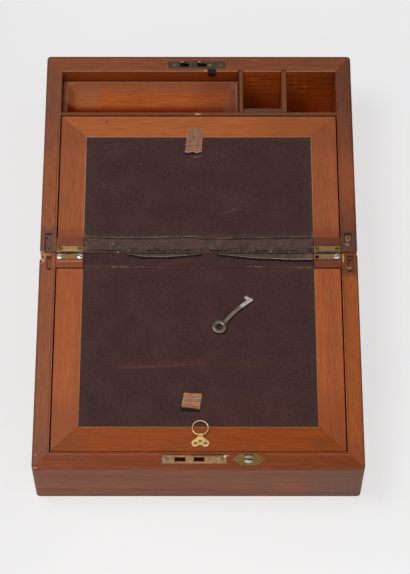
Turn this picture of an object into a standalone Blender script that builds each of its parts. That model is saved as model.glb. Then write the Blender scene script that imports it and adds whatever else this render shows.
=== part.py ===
"""A mahogany writing box that lies open: base half at +Y, lid half at -Y, hinged along X at the fold.

All sizes are in metres. X runs along the fold, Y away from the writer and Z up. The origin lies on the table,
midway along the fold. The rims of both halves lie in one plane that slopes down towards the writer.
"""

import math

import bmesh
import bpy
from mathutils import Matrix, Vector

# Overall sizes
WIDTH = 0.305
HALF_DEPTH = 0.2213
HINGE_HEIGHT = 0.074
SLOPE_RISE = 0.00855
WALL = 0.0155
FAR_WALL = 0.0181
NEAR_WALL = 0.0168
CORNER_RADIUS = 0.0035
RIM_ROUND = 0.0016
FLOOR_THICKNESS = 0.007
FLOOR_REBATE = 0.0075

# Fits
CLEARANCE = 0.0003
RIM_GAP = 0.0008
FOLD_GAP = 0.0006
PLATE_SINK = 0.0001

# Writing flaps: a three-sided mitred frame round a leather-covered panel
FLAP_DROP = 0.0018
FLAP_THICKNESS = 0.008
FLAP_EDGE_GAP = 0.0012
SIDE_RAIL = 0.0253
UPPER_END_RAIL = 0.0236
LOWER_END_RAIL = 0.0245
LEATHER_THICKNESS = 0.001
FLAP_PIVOT_RISE = 0.0001
LEDGE_WIDTH = 0.008
LEDGE_HEIGHT = 0.010
LEDGE_END_GAP = 0.0015

# Compartments beyond the upper flap
COMPARTMENT_DEPTH = 0.0470
PARTITION_THICKNESS = 0.0032
DIVIDER_THICKNESS = 0.0046
DIVIDER_HOUSING = 0.0018
COMPARTMENT_DROP = 0.0008
SQUARE_WELL_LENGTH = 0.0387
RIGHT_WELL_LENGTH = 0.0496
WELL_LEDGE_WIDTH = 0.0051
WELL_LEDGE_HEIGHT = 0.007
WELL_LEDGE_DROP = 0.002

# Pen tray
TRAY_DROP = 0.0149
TRAY_HEIGHT = 0.018
TRAY_PLAY = 0.0006
TRAY_LIP = 0.003
SCOOP_DEPTH = 0.011
SCOOP_END = 0.014
TRAY_REST_WIDTH = 0.006
TRAY_REST_HEIGHT = 0.006

# Brass butt hinges
HINGE_LENGTH = 0.0254
HINGE_END_GAP = 0.0005
LEAF_WIDTH = 0.0070
LEAF_THICKNESS = 0.0008
BARREL_RADIUS = 0.0014
BARREL_PLAY = 0.0003
PIN_RADIUS = 0.0007
PIN_PLAY = 0.00015
KNUCKLE_COUNT = 5

# Screws
SCREW_END = 0.0030
SCREW_LINE = 0.0043
SCREW_HEAD_RADIUS = 0.0023
SCREW_SHANK_RADIUS = 0.0010
SCREW_LENGTH = 0.0085
SCREW_CROWN = 0.00025
SCREW_PLAY = 0.00015

# Recesses of an older pair of hinges in the side rims: inset from the side, width, and start and end
# as distances from the fold
OLD_RECESSES = {
    "base_left": (0.0047, 0.0069, 0.0, 0.0203),
    "base_right": (0.0048, 0.0077, 0.0068, 0.0204),
    "lid_left": (0.0069, 0.0053, 0.0042, 0.0189),
    "lid_right": (0.0042, 0.0058, 0.0036, 0.0212),
}
OLD_RECESS_DEPTH = 0.0020

# Broken corner of the lid beside the left hinge
CHIP_LENGTH = 0.011
CHIP_WIDTH = 0.0028
CHIP_HEIGHT = 0.010

# Lock in the far wall and its strike in the lid
LOCK_X = -0.0019
LOCK_INSET = 0.0102
LOCK_PLATE_THICKNESS = 0.0014
SELVEDGE_LENGTH = 0.0562
SELVEDGE_WIDTH = 0.0072
STRIKE_INSET = 0.0096
STRIKE_SHIFT = -0.0018
STRIKE_LENGTH = 0.0589
STRIKE_WIDTH = 0.0082
LOCK_CASE_LENGTH = 0.052
LOCK_CASE_WIDTH = 0.0066
LOCK_CASE_DEPTH = 0.022
LOCK_CASE_WALL = 0.0012
HOOK_SPACING = 0.0174
HOOK_START = -0.0163
HOOK_WIDTH = 0.0036
HOOK_LIP = 0.0016
HOOK_THICKNESS = 0.0024
HOOK_HEIGHT = 0.0055
BOLT_TRAVEL = 0.0026
BOLT_BAR_HEIGHT = 0.008
BOLT_BAR_END = 0.004
SELVEDGE_SLOT_PLAY = 0.0006
SELVEDGE_SLOT_START = 0.0007
SELVEDGE_SLOT_END = 0.0021
STRIKE_SLOT_START = 0.0035
STRIKE_END_PLAY = 0.0003
STRIKE_SLOT_WIDTH = 0.0042
STRIKE_POCKET_WIDTH = 0.0062
STRIKE_POCKET_DEPTH = 0.0095
KEYHOLE_DROP = 0.013
KEYHOLE_RADIUS = 0.0024
KEYHOLE_SLOT_WIDTH = 0.0026
KEYHOLE_SLOT_LENGTH = 0.0065
ESCUTCHEON_BORDER = 0.0014
ESCUTCHEON_THICKNESS = 0.0012
TAB_IRON_SHIFT = 0.0150
TAB_IRON_WIDTH = 0.0078
TAB_IRON_THICKNESS = 0.0012
TAB_IRON_REACH = 0.0032
TAB_IRON_HANG = 0.0075
TAB_IRON_TIP = 0.0034
TAB_IRON_TAPER = 0.0030

# Lozenge plate on the lid's near rim
LOZENGE_X = 0.0460
LOZENGE_LENGTH = 0.0320
LOZENGE_WIDTH = 0.0124
LOZENGE_FLAT = 0.0140
LOZENGE_THICKNESS = 0.0010
LOZENGE_INSET = 0.0097
LOZENGE_SCREW_RADIUS = 0.0042

# Ring pull on the lower flap
PULL_X = 0.0018
PULL_PLATE_INSET = 0.0040
PULL_PLATE_LENGTH = 0.0106
PULL_PLATE_WIDTH = 0.0163
PULL_PLATE_THICKNESS = 0.0010
PULL_LOBE_RADIUS = 0.0036
PULL_LOBE_SWEEP = (-145, 50)
PULL_CROWN_RADIUS = 0.0044
PULL_CROWN_SWEEP = (38, 142)
PULL_CLEFT = 0.0018
RING_RADIUS = 0.0073
RING_WIRE = 0.00065
EYE_LENGTH = 0.0052
EYE_PLAY = 0.0002
EYE_WALL = 0.0006
EYE_OFFSET = 0.0010
EYE_FOOT = 0.0003
EYE_STRAP = 0.0009
EYE_HEEL = 0.0026
EYE_WRAP = 185

# Ribbon tabs
RIBBON_WIDTH = 0.0162
RIBBON_THICKNESS = 0.0005
RIBBON_SCALLOPS = 2
UPPER_TAB_X = -0.0033
UPPER_TAB_INSET = 0.0135
UPPER_TAB_LENGTH = 0.0278
UPPER_TAB_SKEW = -0.0024
UPPER_TAB_LIFT = 0.0014
LOWER_TAB_X = -0.0050
LOWER_TAB_INSET = 0.0575
LOWER_TAB_LENGTH = 0.0165
LOWER_TAB_SKEW = -0.0026
LOWER_TAB_LIFT = 0.0020

# Key left on the lower flap
KEY_BOW_X = 0.0196
KEY_BOW_DISTANCE = 0.0785
KEY_BOW_RADIUS = 0.0049
KEY_BOW_WIRE = 0.0024
KEY_STEM_WIDTH = 0.0038
KEY_STEM_EDGE = 0.0006
KEY_THICKNESS = 0.0032
KEY_STEM_LENGTH = 0.0382
KEY_STEM_TURN = math.radians(20)
KEY_HEADING = math.radians(52)
KEY_ROOT_ANGLE = math.radians(39)
KEY_BIT_LENGTH = 0.0036
KEY_BIT_REACH = 0.0036
KEY_BIT_THICKNESS = 0.0018
KEY_BIT_SETBACK = 0.0022

# Facets
ROUND_STEPS = 24
SMALL_ROUND_STEPS = 16
PIN_STEPS = 12
WIRE_STEPS = 10
RING_STEPS = 32
SCOOP_STEPS = 48
SCOOP_END_STEPS = 6
CORNER_STEPS = 4
RIM_STEPS = 3
KEY_STEPS = 10
RIBBON_GRID = (4, 8)
SMOOTH_ANGLE = math.radians(40)
MERGE_DISTANCE = 1e-6
AXIS_MARK = 0.01
OVERCUT = 0.004

SLOPE = math.atan2(SLOPE_RISE, HALF_DEPTH)
HALF_WIDTH = WIDTH / 2
INNER_X = HALF_WIDTH - WALL
BASE_END = HALF_DEPTH - FAR_WALL
LID_END = HALF_DEPTH - NEAR_WALL
HINGE_WALL_FACE = FOLD_GAP / 2 + WALL
RIM = -RIM_GAP / 2
FLAP_TOP = RIM - FLAP_DROP
FLAP_BOTTOM = FLAP_TOP - FLAP_THICKNESS
FLAP_HALF_WIDTH = INNER_X - FLAP_EDGE_GAP
LEATHER_HALF_WIDTH = FLAP_HALF_WIDTH - SIDE_RAIL
HINGE_OUTER_END = INNER_X - CLEARANCE - HINGE_END_GAP
FOLD_LEATHER_HALF_WIDTH = HINGE_OUTER_END - HINGE_LENGTH - CLEARANCE
PARTITION_FAR = BASE_END - COMPARTMENT_DEPTH
PARTITION_NEAR = PARTITION_FAR - PARTITION_THICKNESS
TALL = HINGE_HEIGHT + 2 * SLOPE_RISE + OVERCUT

WORLD = Matrix.Identity(4)
ON_SLOPE = Matrix.Translation((0, 0, HINGE_HEIGHT)) @ Matrix.Rotation(SLOPE, 4, "X")
SLOPE_NORMAL = Vector((0, -math.sin(SLOPE), math.cos(SLOPE)))
# Turns a flat outline so that its thickness runs along X
ALONG_X = Matrix(((0, 0, 1, 0), (1, 0, 0, 0), (0, 1, 0, 0), (0, 0, 0, 1)))


def on_slope(y):
    """Distance from the fold along the sloping rim to the point that lies y from the fold on the table."""
    return y / math.cos(SLOPE)


def rim_height(y, drop=0.0):
    """Height above the table, at y, of the plane that lies `drop` below the rims."""
    return HINGE_HEIGHT + y * math.tan(SLOPE) + (RIM - drop) / math.cos(SLOPE)


# Scene, collections and materials


def clear_scene():
    for item in list(bpy.data.objects):
        bpy.data.objects.remove(item, do_unlink=True)


def new_collection(name):
    collection = bpy.data.collections.new(name)
    bpy.context.scene.collection.children.link(collection)
    return collection


def linear(hex_colour):
    """Linear RGBA of an sRGB hex colour."""
    channels = [int(hex_colour[i : i + 2], 16) / 255 for i in (1, 3, 5)]
    return [c / 12.92 if c <= 0.04045 else ((c + 0.055) / 1.055) ** 2.4 for c in channels] + [1.0]


def new_material(name, hex_colour, roughness, metallic=0.0):
    material = bpy.data.materials.new(name)
    material.use_nodes = True
    shader = material.node_tree.nodes["Principled BSDF"]
    shader.inputs["Base Color"].default_value = linear(hex_colour)
    shader.inputs["Roughness"].default_value = roughness
    shader.inputs["Metallic"].default_value = metallic
    material.diffuse_color = linear(hex_colour)
    return material


clear_scene()
PARTS = new_collection("writing_box")
CUTTERS = new_collection("cutters")

CASE_WOOD = new_material("polished_mahogany", "#7e4a30", 0.42)
FLAP_WOOD = new_material("flap_mahogany", "#9b5430", 0.42)
INNER_WOOD = new_material("inner_mahogany", "#7a3a1c", 0.60)
LEATHER = new_material("aubergine_leather", "#45302f", 0.72)
FOLD_LEATHER = new_material("worn_leather", "#57493f", 0.85)
BRASS = new_material("brass", "#b0905a", 0.38, 1.0)
DULL_BRASS = new_material("tarnished_brass", "#6b5a40", 0.55, 1.0)
ZINC = new_material("zinc_plated_steel", "#c9c6bf", 0.30, 1.0)
BLACK_IRON = new_material("black_iron", "#241d1e", 0.55, 0.6)
PEWTER_STEEL = new_material("key_steel", "#80766a", 0.42, 1.0)
RIBBON = new_material("ribbon", "#95694f", 0.90)


# Frames that carry the pieces: an empty on each joint axis

FRAMES = {}


def new_frame(name, matrix, parent=None):
    """Adds an empty at a world matrix, under its parent frame."""
    empty = bpy.data.objects.new(name, None)
    empty.empty_display_size = AXIS_MARK
    PARTS.objects.link(empty)
    if parent is None:
        empty.matrix_local = matrix
    else:
        empty.parent = FRAMES[parent][0]
        empty.matrix_local = FRAMES[parent][1].inverted() @ matrix
    FRAMES[name] = (empty, matrix)


UPPER_PIVOT = on_slope(HINGE_WALL_FACE + CLEARANCE / 2)
LEAN = -FLAP_BOTTOM * math.tan(SLOPE)
UPPER_FLAP_START = on_slope(HINGE_WALL_FACE + CLEARANCE)
UPPER_FLAP_END = on_slope(PARTITION_NEAR - FLAP_EDGE_GAP)
LOWER_FLAP_START = on_slope(HINGE_WALL_FACE + CLEARANCE) + LEAN
LOWER_FLAP_END = on_slope(LID_END - FLAP_EDGE_GAP)
LOWER_PIVOT = LOWER_FLAP_START - CLEARANCE / 2
PIVOT_LEVEL = FLAP_TOP + FLAP_PIVOT_RISE
TRAY_TOP = rim_height(BASE_END, TRAY_DROP)
LOCK_LINE = on_slope(HALF_DEPTH - LOCK_INSET)
STRIKE_LINE = on_slope(HALF_DEPTH - STRIKE_INSET)
LOZENGE_LINE = on_slope(HALF_DEPTH - LOZENGE_INSET)
TAB_IRON_X = LOCK_X + TAB_IRON_SHIFT
TAB_IRON_BACK = on_slope(BASE_END) - CLEARANCE - TAB_IRON_HANG * math.tan(SLOPE)
TAB_IRON_FRONT = TAB_IRON_BACK - TAB_IRON_THICKNESS

new_frame("base_frame", WORLD)
new_frame("lid_axis", ON_SLOPE, "base_frame")
new_frame("upper_flap_axis", ON_SLOPE @ Matrix.Translation((0, UPPER_PIVOT, PIVOT_LEVEL)), "base_frame")
new_frame("lower_flap_axis", ON_SLOPE @ Matrix.Translation((0, -LOWER_PIVOT, PIVOT_LEVEL)), "lid_axis")


# Mesh helpers


def box(low, high):
    """A box between two corners."""
    size = [high[i] - low[i] for i in range(3)]
    middle = [(high[i] + low[i]) / 2 for i in range(3)]
    bm = bmesh.new()
    bmesh.ops.create_cube(bm, size=1, matrix=Matrix.Translation(middle) @ Matrix.Diagonal((*size, 1)))
    return bm


def rod(start, end, radius, steps=SMALL_ROUND_STEPS):
    """A round bar between two points."""
    bm = bmesh.new()
    line = Vector(end) - Vector(start)
    turn = line.to_track_quat("Z", "Y").to_matrix().to_4x4()
    place = Matrix.Translation((Vector(start) + Vector(end)) / 2) @ turn
    bmesh.ops.create_cone(
        bm, cap_ends=True, segments=steps, radius1=radius, radius2=radius, depth=line.length, matrix=place
    )
    return bm


def turned(profile, steps=ROUND_STEPS, closed=False):
    """Turns a profile of (radius, height) points round Z. An open profile starts and ends on the axis."""
    bm = bmesh.new()
    points = [bm.verts.new((radius, 0, height)) for radius, height in profile]
    ends = points + points[:1] if closed else points
    edges = [bm.edges.new(pair) for pair in zip(ends, ends[1:])]
    whole = 2 * math.pi
    bmesh.ops.spin(
        bm, geom=points + edges, axis=(0, 0, 1), cent=(0, 0, 0), angle=whole, steps=steps, use_merge=True
    )
    bmesh.ops.remove_doubles(bm, verts=bm.verts, dist=MERGE_DISTANCE)
    bmesh.ops.recalc_face_normals(bm, faces=bm.faces)
    return bm


def evaluated_mesh(curve):
    """The closed mesh of a curve: its caps are welded, and the curve is removed."""
    item = bpy.data.objects.new("outline", curve)
    bpy.context.scene.collection.objects.link(item)
    graph = bpy.context.evaluated_depsgraph_get()
    mesh = bpy.data.meshes.new_from_object(item.evaluated_get(graph))
    bpy.data.objects.remove(item, do_unlink=True)
    bpy.data.curves.remove(curve)
    bm = bmesh.new()
    bm.from_mesh(mesh)
    bpy.data.meshes.remove(mesh)
    bmesh.ops.remove_doubles(bm, verts=bm.verts, dist=MERGE_DISTANCE)
    bmesh.ops.recalc_face_normals(bm, faces=bm.faces)
    return bm


def extruded(outlines, thickness, place=WORLD):
    """Fills flat outlines, of which the inner ones are holes, and gives them thickness along their Z."""
    curve = bpy.data.curves.new("outline", "CURVE")
    curve.dimensions = "2D"
    curve.fill_mode = "BOTH"
    curve.extrude = thickness / 2
    for outline in outlines:
        spline = curve.splines.new("POLY")
        spline.points.add(len(outline) - 1)
        for point, (x, y) in zip(spline.points, outline):
            point.co = (x, y, 0, 1)
        spline.use_cyclic_u = True
    bm = evaluated_mesh(curve)
    bm.transform(place)
    return bm


def arc(centre, radius, start, end, steps):
    """Points on an arc, from one angle to another in degrees."""
    angles = [math.radians(start + (end - start) * i / steps) for i in range(steps + 1)]
    return [(centre[0] + radius * math.cos(a), centre[1] + radius * math.sin(a)) for a in angles]


def circle(centre, radius, steps=SMALL_ROUND_STEPS):
    return arc(centre, radius, 0, 360, steps)[:-1]


def trim(bm, point, normal):
    """Cuts away what lies beyond a plane and closes the cut."""
    everything = bm.verts[:] + bm.edges[:] + bm.faces[:]
    bmesh.ops.bisect_plane(bm, geom=everything, plane_co=point, plane_no=normal, clear_outer=True)
    bmesh.ops.holes_fill(bm, edges=[edge for edge in bm.edges if edge.is_boundary])
    bmesh.ops.recalc_face_normals(bm, faces=bm.faces)


def trim_to_rim(bm, drop=0.0):
    """Cuts a piece off along the sloping plane that lies `drop` below the rims."""
    trim(bm, Vector((0, 0, rim_height(0, drop))), SLOPE_NORMAL)


def make_object(name, bm, collection, frame, space):
    """Puts a mesh, whose coordinates are in `space`, into an object under a frame."""
    empty, matrix = FRAMES[frame]
    bm.transform(matrix.inverted() @ space)
    mesh = bpy.data.meshes.new(name)
    bm.to_mesh(mesh)
    bm.free()
    item = bpy.data.objects.new(name, mesh)
    item.parent = empty
    collection.objects.link(item)
    return item


def part(name, bm, material, frame="base_frame", space=ON_SLOPE, smooth=False):
    item = make_object(name, bm, PARTS, frame, space)
    item.data.materials.append(material)
    if smooth:
        item.data.shade_smooth()
        item.data.set_sharp_from_angle(angle=SMOOTH_ANGLE)
    return item


def cutter(name, bm, frame="base_frame", space=ON_SLOPE):
    item = make_object(name, bm, CUTTERS, frame, space)
    item.hide_render = True
    item.display_type = "WIRE"
    return item


def combine(item, tool, operation="DIFFERENCE"):
    modifier = item.modifiers.new(tool.name, "BOOLEAN")
    modifier.operation = operation
    modifier.solver = "EXACT"
    modifier.object = tool


# Carcase of one half: four walls and a floor board let into a rebate


def outer_form(side):
    """The half's outer block: upright corners and rim edges rounded, top cut to the slope."""
    fold, end = side * FOLD_GAP / 2, side * HALF_DEPTH
    bm = box((-HALF_WIDTH, min(fold, end), 0), (HALF_WIDTH, max(fold, end), TALL))
    trim_to_rim(bm)
    upright = [e for e in bm.edges if (e.verts[0].co - e.verts[1].co).xy.length < CLEARANCE]
    bmesh.ops.bevel(
        bm, geom=upright, offset=CORNER_RADIUS, segments=CORNER_STEPS, profile=0.5, affect="EDGES"
    )
    top = max(bm.faces, key=lambda face: face.calc_center_median().z)
    outer = [e for e in top.edges if max(side * v.co.y for v in e.verts) > FOLD_GAP]
    bmesh.ops.bevel(bm, geom=outer, offset=RIM_ROUND, segments=RIM_STEPS, profile=0.5, affect="EDGES")
    bmesh.ops.recalc_face_normals(bm, faces=bm.faces)
    return bm


def mitre(bm, x_side, y_side, end_wall, keep_end):
    """Trims a wall along the mitre from the outer corner at (x_side, y_side) to the inner one."""
    corner = Vector((x_side * HALF_WIDTH, y_side * HALF_DEPTH, 0))
    across = Vector((x_side * end_wall, -y_side * WALL, 0)).normalized()
    normal = across if keep_end else -across
    trim(bm, corner - normal * CLEARANCE / 2, normal)


def make_half(prefix, side, end_wall, end_word, frame):
    """Walls and floor of the base (side 1) or the lid (side -1), with its own thickness of end wall."""
    inner_end = HALF_DEPTH - end_wall
    envelope = cutter(prefix + "_outer_form", outer_form(side), frame, WORLD)
    floor_x = INNER_X + FLOOR_REBATE
    floor_y = (side * (HINGE_WALL_FACE - FLOOR_REBATE), side * (inner_end + FLOOR_REBATE))
    low = Vector((-floor_x, min(floor_y), 0))
    high = Vector((floor_x, max(floor_y), FLOOR_THICKNESS))
    inset = Vector((CLEARANCE, CLEARANCE, 0))
    floor_name = prefix + ("_floor" if side > 0 else "_panel")
    part(floor_name, box(low + inset, high - inset), INNER_WOOD, frame, WORLD)
    rebate = box(low - Vector((0, 0, OVERCUT)), high + Vector((0, 0, CLEARANCE)))
    rebate = cutter(prefix + "_floor_rebate", rebate, frame, WORLD)

    def wall(name, bm):
        item = part(name, bm, CASE_WOOD, frame, WORLD)
        combine(item, envelope, "INTERSECT")
        combine(item, rebate)
        return item

    walls = {}
    ys = sorted((side * inner_end, side * (HALF_DEPTH + OVERCUT)))
    beyond = HALF_WIDTH + OVERCUT
    bm = box((-beyond, ys[0], -OVERCUT), (beyond, ys[1], TALL))
    for x_side in (-1, 1):
        mitre(bm, x_side, side, end_wall, True)
    walls["end"] = wall(f"{prefix}_{end_word}_wall", bm)

    for word, x_side in (("left", -1), ("right", 1)):
        xs = sorted((x_side * INNER_X, x_side * beyond))
        ys = sorted((-side * OVERCUT, side * (HALF_DEPTH + OVERCUT)))
        bm = box((xs[0], ys[0], -OVERCUT), (xs[1], ys[1], TALL))
        mitre(bm, x_side, side, end_wall, False)
        walls[word] = wall(f"{prefix}_{word}_wall", bm)

    ys = sorted((-side * OVERCUT, side * HINGE_WALL_FACE))
    reach = INNER_X - CLEARANCE
    walls["hinge"] = wall(prefix + "_hinge_wall", box((-reach, ys[0], -OVERCUT), (reach, ys[1], TALL)))

    recess_floor = FLAP_TOP - LEATHER_THICKNESS - CLEARANCE
    ys = sorted((-side * OVERCUT, side * (HINGE_WALL_FACE + OVERCUT)))
    reach = FOLD_LEATHER_HALF_WIDTH
    grown = reach + CLEARANCE
    recess = box((-grown, ys[0], recess_floor), (grown, ys[1], OVERCUT))
    combine(walls["hinge"], cutter(prefix + "_leather_recess", recess, frame))
    ys = sorted((side * (FOLD_GAP / 2 + CLEARANCE), side * HINGE_WALL_FACE))
    strip = box((-reach, ys[0], FLAP_TOP - LEATHER_THICKNESS), (reach, ys[1], FLAP_TOP))
    part(prefix + "_fold_leather", strip, FOLD_LEATHER, frame)

    for word, x_side in (("left", -1), ("right", 1)):
        recess_inset, recess_width, recess_start, recess_end = OLD_RECESSES[f"{prefix}_{word}"]
        outer = x_side * (HALF_WIDTH - recess_inset)
        xs = sorted((outer, outer - x_side * recess_width))
        ys = sorted((side * recess_start, side * recess_end))
        bm = box((xs[0], ys[0], RIM - OLD_RECESS_DEPTH), (xs[1], ys[1], OVERCUT))
        combine(walls[word], cutter(f"{prefix}_{word}_old_recess", bm, frame))
    return walls


# Ledges under the flaps


def make_ledges(flap_word, side, end, frame):
    """The two strips on the side walls that carry a flap."""
    start = on_slope(HINGE_WALL_FACE) + LEDGE_END_GAP
    ys = sorted((side * start, side * (on_slope(end) - LEDGE_END_GAP)))
    top = FLAP_BOTTOM - CLEARANCE
    for word, x_side in (("left", -1), ("right", 1)):
        outer = INNER_X - CLEARANCE
        xs = sorted((x_side * outer, x_side * (outer - LEDGE_WIDTH)))
        bm = box((xs[0], ys[0], top - LEDGE_HEIGHT), (xs[1], ys[1], top))
        part(f"{flap_word}_flap_ledge_{word}", bm, INNER_WOOD, frame)


# Flaps


def flap_corner(x_side, side, end, end_rail, keep_end, bm):
    """Trims a flap rail along the mitre from the flap's outer corner to the leather's corner."""
    outer = Vector((x_side * FLAP_HALF_WIDTH, side * end, 0))
    inner = Vector((x_side * LEATHER_HALF_WIDTH, side * (end - end_rail), 0))
    line = (outer - inner).normalized()
    across = Vector((line.y, -line.x, 0)) * x_side * side
    normal = across if keep_end else -across
    trim(bm, outer - normal * CLEARANCE / 2, normal)


def make_flap(word, side, start, end, end_rail, end_word, frame):
    """Three mitred rails round a panel whose leather lies flush with the rails."""
    flap = word + "_flap"
    ys = sorted((side * (end - end_rail), side * end))
    bm = box((-FLAP_HALF_WIDTH, ys[0], FLAP_BOTTOM), (FLAP_HALF_WIDTH, ys[1], FLAP_TOP))
    for x_side in (-1, 1):
        flap_corner(x_side, side, end, end_rail, True, bm)
    part(f"{flap}_{end_word}_rail", bm, FLAP_WOOD, frame)
    ys = sorted((side * start, side * end))
    for name, x_side in (("left", -1), ("right", 1)):
        xs = sorted((x_side * LEATHER_HALF_WIDTH, x_side * FLAP_HALF_WIDTH))
        bm = box((xs[0], ys[0], FLAP_BOTTOM), (xs[1], ys[1], FLAP_TOP))
        flap_corner(x_side, side, end, end_rail, False, bm)
        part(f"{flap}_{name}_rail", bm, FLAP_WOOD, frame)
    reach = LEATHER_HALF_WIDTH - CLEARANCE
    ys = sorted((side * start, side * (end - end_rail - CLEARANCE)))
    board_top = FLAP_TOP - LEATHER_THICKNESS - CLEARANCE
    part(f"{flap}_panel", box((-reach, ys[0], FLAP_BOTTOM), (reach, ys[1], board_top)), INNER_WOOD, frame)
    leather = box((-reach, ys[0], FLAP_TOP - LEATHER_THICKNESS), (reach, ys[1], FLAP_TOP))
    part(f"{flap}_leather", leather, LEATHER, frame)


def make_ribbon(word, root, length, skew, lift):
    """A pull tab of ribbon: glued down at its root, its free end skewed to one side and lifted."""
    bm = bmesh.new()
    columns, rows = RIBBON_GRID
    bmesh.ops.create_grid(bm, x_segments=columns, y_segments=rows, size=0.5)
    for vertex in bm.verts:
        across, along = vertex.co.x, 0.5 - vertex.co.y
        x = root[0] + across * RIBBON_WIDTH + skew * along
        scallop = RIBBON_THICKNESS * math.cos(2 * math.pi * RIBBON_SCALLOPS * across) * along
        y = root[1] - length * along - scallop
        level = FLAP_TOP + CLEARANCE + RIBBON_THICKNESS / 2
        vertex.co = (x, y, level + lift * along * along)
    item = part(word + "_ribbon_tab", bm, RIBBON, word + "_flap_axis", smooth=True)
    solid = item.modifiers.new("thickness", "SOLIDIFY")
    solid.thickness = RIBBON_THICKNESS
    solid.offset = 0


# Compartments and the pen tray


def make_compartments(far_wall):
    """Partition, dividers housed in the far wall, well ledge, pen tray and the tray's rests."""
    low_level = FLOOR_THICKNESS + CLEARANCE
    reach = INNER_X - CLEARANCE
    bm = box((-reach, PARTITION_NEAR, low_level), (reach, PARTITION_FAR, TALL))
    trim_to_rim(bm, COMPARTMENT_DROP)
    part("partition", bm, INNER_WOOD, space=WORLD)
    right_start = INNER_X - RIGHT_WELL_LENGTH - DIVIDER_THICKNESS
    left_start = right_start - SQUARE_WELL_LENGTH - DIVIDER_THICKNESS
    near, far = PARTITION_FAR + CLEARANCE, BASE_END - CLEARANCE
    housed = BASE_END + DIVIDER_HOUSING
    for name, start in (("divider_left", left_start), ("divider_right", right_start)):
        bm = box((start, near, low_level), (start + DIVIDER_THICKNESS, housed, TALL))
        trim_to_rim(bm, COMPARTMENT_DROP)
        part(name, bm, INNER_WOOD, space=WORLD)
        low = (start - CLEARANCE, BASE_END - OVERCUT, FLOOR_THICKNESS)
        high = (start + DIVIDER_THICKNESS + CLEARANCE, housed + CLEARANCE, TALL)
        combine(far_wall, cutter(f"{name}_housing", box(low, high), space=WORLD))

    ledge_top = rim_height(PARTITION_FAR, WELL_LEDGE_DROP)
    ledge_start = left_start + DIVIDER_THICKNESS + CLEARANCE
    low = (ledge_start, near, ledge_top - WELL_LEDGE_HEIGHT)
    high = (right_start - CLEARANCE, near + WELL_LEDGE_WIDTH, ledge_top)
    part("well_ledge", box(low, high), INNER_WOOD, space=WORLD)

    tray_low, tray_high = -INNER_X + TRAY_PLAY, left_start - TRAY_PLAY
    tray_near, tray_far = PARTITION_FAR + TRAY_PLAY, TAB_IRON_FRONT * math.cos(SLOPE) - TRAY_PLAY
    make_tray((tray_low, tray_near), (tray_high, tray_far))
    rest_top = TRAY_TOP - TRAY_HEIGHT - CLEARANCE
    starts = (("left", -INNER_X + CLEARANCE), ("right", left_start - CLEARANCE - TRAY_REST_WIDTH))
    for word, start in starts:
        low = (start, near, rest_top - TRAY_REST_HEIGHT)
        bm = box(low, (start + TRAY_REST_WIDTH, far, rest_top))
        part(f"pen_tray_rest_{word}", bm, INNER_WOOD, space=WORLD)


def scoop_form(half_length, half_width):
    """The tray's hollow as a turned spindle: a round trough whose ends curve up to the tray's top."""
    radius = (half_width**2 + SCOOP_DEPTH**2) / (2 * SCOOP_DEPTH)
    axis_height = radius - SCOOP_DEPTH
    bends = [math.pi / 2 * i / SCOOP_END_STEPS for i in range(SCOOP_END_STEPS + 1)]
    ends = [
        (axis_height + SCOOP_DEPTH * math.sin(bend), half_length - SCOOP_END * (1 - math.cos(bend)))
        for bend in bends
    ]
    profile = [(0, half_length)] + ends + [(r, -z) for r, z in reversed(ends)] + [(0, -half_length)]
    return turned(profile, SCOOP_STEPS), axis_height


def make_tray(low, high):
    """The lift-out pen tray: a block with a scooped hollow."""
    middle = Vector(((low[0] + high[0]) / 2, (low[1] + high[1]) / 2, TRAY_TOP))
    new_frame("pen_tray_axis", Matrix.Translation(middle), "base_frame")
    bm = box((*low, TRAY_TOP - TRAY_HEIGHT), (*high, TRAY_TOP))
    tray = part("pen_tray", bm, INNER_WOOD, "pen_tray_axis", WORLD, smooth=True)
    scoop, axis_height = scoop_form((high[0] - low[0]) / 2 - TRAY_LIP, (high[1] - low[1]) / 2 - TRAY_LIP)
    place = Matrix.Translation(middle + Vector((0, 0, axis_height))) @ Matrix.Rotation(math.pi / 2, 4, "Y")
    scoop.transform(place)
    combine(tray, cutter("pen_scoop", scoop, "pen_tray_axis", WORLD))


# Hinges and screws


def screw_form(head_radius):
    """A countersunk wood screw, head uppermost, its rim at height 0. Its crown falls as a parabola."""
    neck = SCREW_SHANK_RADIUS
    middle = head_radius / 2
    return turned(
        [
            (0, SCREW_CROWN),
            (middle, SCREW_CROWN * (1 - (middle / head_radius) ** 2)),
            (head_radius, 0),
            (neck, neck - head_radius),
            (neck, -SCREW_LENGTH),
            (0, -SCREW_LENGTH),
        ],
        SMALL_ROUND_STEPS,
    )


def screw_hole_form(head_radius):
    """The countersunk hole for such a screw. Its cone runs on above the head."""
    neck = SCREW_SHANK_RADIUS + SCREW_PLAY
    sink = head_radius - SCREW_SHANK_RADIUS + SCREW_PLAY
    flare = (head_radius - SCREW_SHANK_RADIUS) / sink
    mouth = head_radius + SCREW_PLAY + flare * OVERCUT
    foot = -SCREW_LENGTH - SCREW_PLAY
    return turned([(0, OVERCUT), (mouth, OVERCUT), (neck, -sink), (neck, foot), (0, foot)], SMALL_ROUND_STEPS)


def cut_screw_hole(name, place, frame, holders, head_radius):
    """The countersunk hole for a screw in each piece that it passes through."""
    bm = screw_hole_form(head_radius)
    bm.transform(place)
    hole = cutter(name + "_hole", bm, frame)
    for holder in holders:
        combine(holder, hole)


def make_screw(name, place, material, frame, holders, head_radius=SCREW_HEAD_RADIUS):
    """A screw in the slope's frame, in its hole."""
    bm = screw_form(head_radius)
    bm.transform(place)
    part(name, bm, material, frame, smooth=True)
    cut_screw_hole(name, place, frame, holders, head_radius)


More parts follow.
